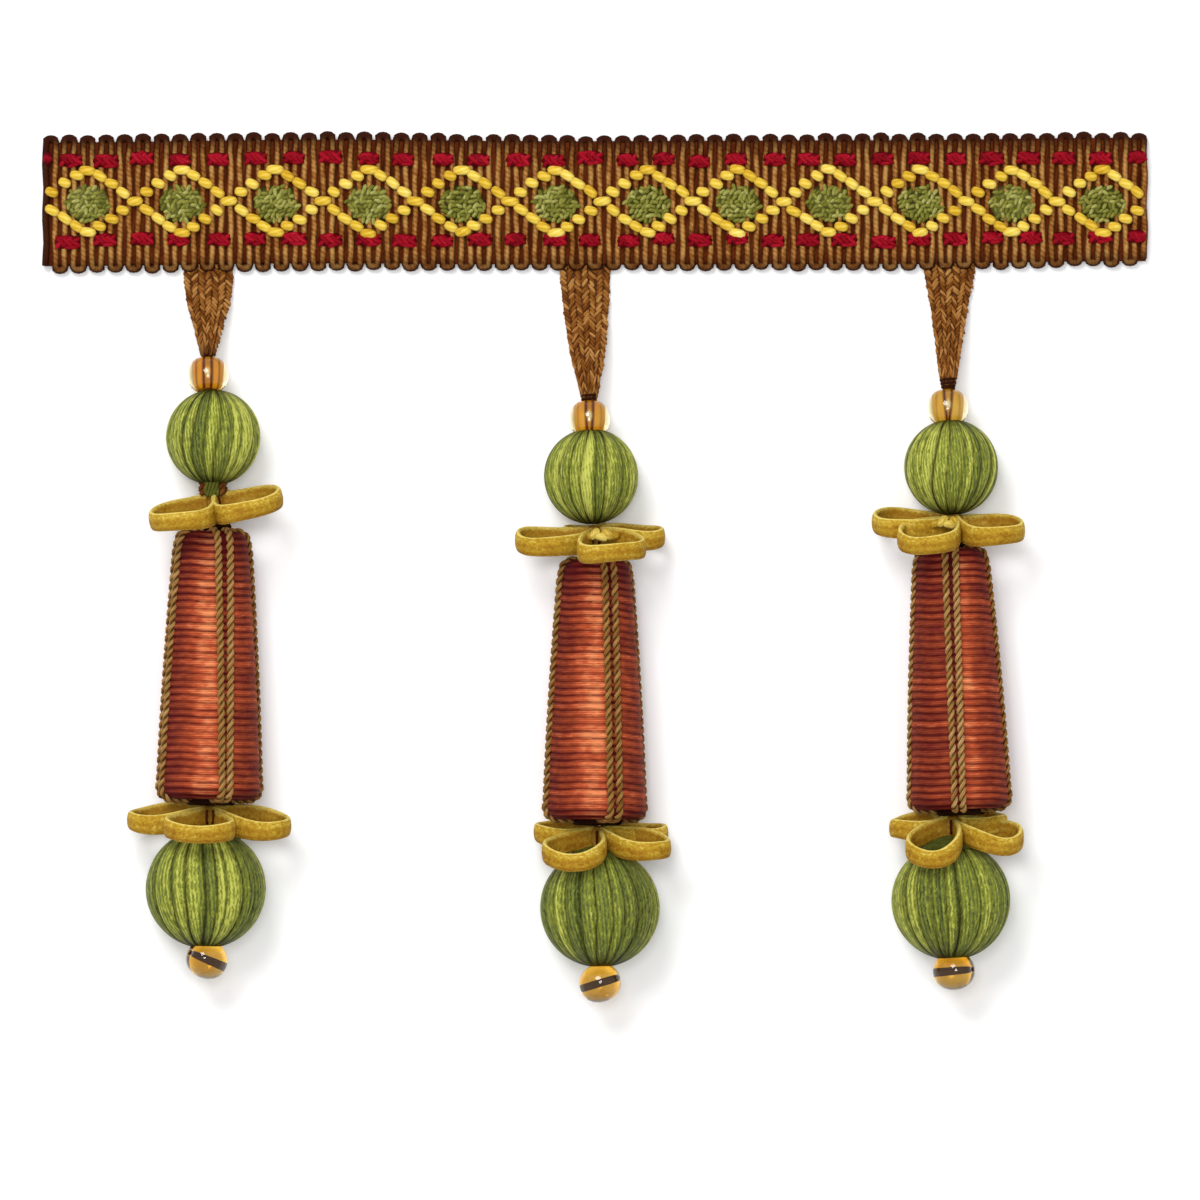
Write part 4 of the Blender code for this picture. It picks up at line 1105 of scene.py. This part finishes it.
# Wound cones
# Each cone is a core wound in close turns of cord from crimson to orange, each turn of its
# own tone. The turns go on over both round shoulders to the caps. Over the winding lies
# painted light: a band of painted sheen down the front and down the back, and painted
# shade on the left and right flanks, in the grooves between turns, between the cords of
# the front pair and towards both ends.
CONES = {
    "left": {"x": (-41.9, -42.25), "y": (-35.75, -66.0), "radius": (4.3, 6.05)},
    "middle": {"x": (0.1, 0.1), "y": (-38.85, -68.2), "radius": (4.2, 5.97)},
    "right": {"x": (38.95, 39.98), "y": (-37.65, -67.1), "radius": (4.25, 5.9)},
}
CORD_PAIRS = {
    "left": ((20.5, 1.4, 0.85), (109.0, 1.5, 1.3), (199.0, 1.5, 1.3), (288.0, 1.3, 1.2)),
    "middle": ((22.6, 1.1, 1.08), (112.0, 1.05, 1.0), (204.0, 1.05, 1.0), (276.0, 1.05, 1.0)),
    "right": ((-2.4, 1.15, 0.88), (90.0, 1.05, 1.0), (179.0, 1.05, 1.0), (269.0, 1.05, 1.0)),
}
CORD_PROUD = 0.55 * MM
SHOULDER = 1.2 * MM
CONE_CROWN = 0.15 * MM
TURN_PITCH = 0.79 * MM
TURN_DEPTH = 0.2 * MM
TURN_STAND = 0.05 * MM
TURN_WOBBLE = 0.05
TURN_SAMPLES = 6
CONE_AROUND = 100
CAP_RADIUS = 0.35 * MM
PAINTED_SHEEN = {"left": (93.0, 20.0, 0.85), "middle": (91.0, 20.0, 0.85), "right": (74.0, 10.0, 0.6)}
PAINTED_SIDE_SHADE = {"left": (152.0, 34.0, 0.45), "middle": (152.0, 34.0, 0.35), "right": (140.0, 40.0, 0.3)}
PAINTED_FAR_SIDE_SHADE = (34.0, 20.0, 0.2)


def cone_axis(side):
    """A cone's two ends on its drop's line, and its right, up and down."""
    top, bottom = (drop_point(side, x * MM, y * MM)
                   for x, y in zip(CONES[side]["x"], CONES[side]["y"]))
    down = unit(bottom - top)
    return (top, bottom, *across_line(down), down)


def cone_wall(side, stand, spacing):
    """A cone's outline as evenly spaced (distance down, radius), stood off by a distance.

    Cap, quarter round shoulder, a side that swells by a sine, shoulder and cap.
    """
    top, bottom, *_ = cone_axis(side)
    length = np.linalg.norm(bottom - top) - 2 * CORD_PROUD
    small, large = (radius * MM - CORD_PROUD for radius in CONES[side]["radius"])
    arc = np.linspace(0, np.pi / 2, 12)
    share = np.linspace(0.08, 0.92, 30)
    reach = SHOULDER + stand
    parts = [
        ([-stand], [CAP_RADIUS]),
        (SHOULDER - reach * np.cos(arc), small - SHOULDER + reach * np.sin(arc)),
        (length * share, small + (large - small) * share + CONE_CROWN * np.sin(np.pi * share)
         + stand),
        (length - SHOULDER + reach * np.sin(arc), large - SHOULDER + reach * np.cos(arc)),
        ([length + stand], [CAP_RADIUS]),
    ]
    down_by, radius = (np.concatenate(column) for column in zip(*parts))
    travel = run_along(np.hypot(np.diff(down_by), np.diff(radius)))
    even = np.arange(0, travel[-1], spacing)
    return even, np.interp(even, travel, down_by) + CORD_PROUD, np.interp(even, travel, radius)


def add_cone(side):
    """A wound cone: its outline turned round the axis, with a half-round ridge to each turn.

    The ridge's phase is the distance along the outline over the pitch plus the share of
    the way round, so the winding is one helix, and each turn has its own tone.
    """
    top, _, right, up, down = cone_axis(side)
    travel, down_by, radius = cone_wall(side, TURN_STAND, TURN_PITCH / TURN_SAMPLES)
    turn = ring_angles(CONE_AROUND)
    wobble = sum(TURN_WOBBLE * np.sin(count * turn + dice.uniform(0, 6)) for count in (2, 3, 7))
    phase = 0.2 + travel[:, None] / TURN_PITCH + (turn / (2 * np.pi) + wobble)[None]
    ridge = half_round(2 * (phase % 1.0) - 1)
    lap = np.floor(phase).astype(int)
    turns = int(phase.max()) + 1
    groove = dice.uniform(0.45, 1.0, turns)[lap]
    along = unit(points(np.gradient(down_by), np.gradient(radius)))
    push = TURN_DEPTH * (ridge - 0.6)
    stand_down = down_by[:, None] - along[:, 1:] * push
    stand_out = radius[:, None] + along[:, :1] * push
    rings = top + down * stand_down[..., None] + around(right, up, turn) * stand_out[..., None]

    def hump(at, reach, height):
        return height * np.exp(-((np.degrees(turn) - at) / reach) ** 2)

    # Painted light: a band of painted sheen at the front and back, and painted shade on the
    # flanks.
    at, reach, height = PAINTED_SHEEN[side]
    painted_sheen = hump(at, reach, height) + hump(at + 180, reach, height)
    side_shade = hump(*PAINTED_SIDE_SHADE[side]) + hump(*PAINTED_FAR_SIDE_SHADE)
    tones = painted_sheen[None] + dice.uniform(-0.25, 0.45, turns)[lap]
    # Painted shade on the winding between the cords of the front pair.
    first_pair, *spread = CORD_PAIRS[side][0]
    front = np.radians(np.degrees(turn) - 90 + first_pair) * radius[:, None]
    half_gap = np.interp(down_by, [0, down_by[-1]], spread)[:, None] / 2 + 0.25
    between = 0.55 * np.exp(-(front / (half_gap * MM)) ** 4)
    # Painted shade at the caps and towards both ends, and in the grooves between turns.
    cap_shade = clamp(1.25 - radius / (3.6 * MM))
    start_shade = 0.35 * clamp(1 - down_by / (5 * MM))
    end_shade = 0.6 * clamp((down_by - down_by[-1]) / (1.6 * MM) + 1)
    ends = (cap_shade + start_shade + end_shade)[:, None]
    valley_shade = clamp(1.15 - ridge**2 * 1.15) * groove
    skin(f"wound_cone_{side}", rings[None], painted_sheen_winding, "red_winding", f"cone_{side}",
         tone=tones[None], shade=clamp(valley_shade + ends + side_shade + between)[None])


painted_sheen_winding = yarn_material(
    "painted_sheen_winding", ((116, 30, 36), (148, 66, 38), (196, 86, 50), (244, 148, 96)), 0.65,
    turns=4.0, plies=0.0, depth=0.4, streaks=(5.0, 30.0), weights=(0.4, 0.4, 0.35),
    dark=(76, 10, 14), mottle=700.0)
for side in SIDES:
    add_cone(side)


# Lengthwise cords
# Four pairs of twisted gold-brown cord are stretched down each cone and tucked in at both
# ends. Flat coils of dark thread fill the gaps between the pieces: partly thread that binds
# the ends, partly a dark stand-in for the shade in those gaps, darkened further as painted
# shade. A green coil, with painted shade too, fills the big ball's crown.
CORD_RADIUS = {"left": 0.46 * MM, "middle": 0.45 * MM, "right": 0.43 * MM}
CORD_STAND = 0.1 * MM
CORD_TWIST = 1.9 * MM
CORD_SPACING = 0.16 * MM
TUCKED_RADIUS = 1.3 * MM
COIL = {"half_width": 0.36 * MM, "half_height": 0.42 * MM, "sides": 8}
COIL_START = 0.5 * MM
CROWN_SINK = 90.0


def add_cords(side, index):
    """One hairpin: down the outline on one side of the pair's plane and back on the other."""
    degrees, *spread = CORD_PAIRS[side][index]
    top, _, right, up, down = cone_axis(side)
    _, down_by, radius = cone_wall(side, CORD_STAND, CORD_SPACING)
    keep = radius > TUCKED_RADIUS
    down_by, radius = down_by[keep], radius[keep]
    angle = np.radians(degrees)
    sideways = around(right, -up, angle)
    line = top + down * down_by[:, None] + around(up, right, angle) * radius[:, None]
    half = np.interp(down_by, [0, down_by[-1]], spread)[:, None] / 2 * MM
    away = np.cross(unit(np.gradient(line, axis=0)), sideways)
    rings = twisted(np.stack([line - sideways * half, line + sideways * half]), away,
                    CORD_RADIUS[side], CORD_TWIST)
    # Painted shade: each ply darkens on its inner side towards the groove, and the pairs off the
    # front are darker overall.
    pair_shade = 0.3 if index == 0 else 0.6
    shade = np.clip(pair_shade - 0.6 * np.sin(ring_angles(rings.shape[2])), 0, 0.9)
    skin(f"twisted_cords_{side}_{index + 1}", rings, gold_brown_cord, "twisted_cord",
         f"cord_pair_{side}_{index + 1}", tone=own_tones(4), shade=shade[None, None])


def add_binding_and_shade_coils(side):
    """Spirals of dark thread below the small ball and over the cone's ends, and a green one
    over the big ball's crown, which sinks as the square of its reach. All are darkened as
    painted shade, and stand in for the shade in the gaps between the pieces.
    """
    top, bottom, right, up, down = cone_axis(side)
    poles = {}
    for size in ("small", "big"):
        (_, low_y, _), (_, high_y, _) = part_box(f"{size}_ball_{side}")
        poles[size] = down * (high_y - low_y) / 2
    pole = centre_of(f"small_ball_{side}") + poles["small"]
    crown = centre_of(f"big_ball_{side}") - poles["big"]
    angle = np.linspace(0, 2 * np.pi, 120)
    spirals = []
    for end, turns, widest, sink in ((pole - 0.1 * MM * down, 2, 0.7 * MM, 0.0),
                                     (top - 0.1 * MM * down, 3, 1.7 * MM, 0.0),
                                     (bottom - 0.25 * MM * down, 5, 2.5 * MM, 0.0),
                                     (crown - 0.25 * MM * down, 6, 3.6 * MM, CROWN_SINK)):
        reach = np.linspace(COIL_START, widest, len(angle))[:, None]
        spirals.append(end + around(right, up, angle * turns) * reach + down * sink * reach**2)
    rings = sweep(np.array(spirals), down, **COIL)
    # Painted shade: the dark coils get shade 0.8 and the green crown coil 0.6.
    skin(f"cord_binding_and_shade_{side}", rings[:3], dark_thread, "thread", shade=0.8)
    skin(f"crown_floss_shade_{side}", rings[3:], green_floss, "green_floss", tone=0.3, shade=0.6)


gold_brown_cord = yarn_material(
    "gold_brown_cord", ((96, 60, 18), (136, 92, 40), (170, 128, 70), (206, 168, 114)), 0.6,
    turns=1.6, plies=5.0, depth=0.3, weights=(0.45, 0.25, 0.3), dark=(50, 24, 4))
for side in SIDES:
    for index in range(len(CORD_PAIRS[side])):
        add_cords(side, index)
    add_binding_and_shade_coils(side)
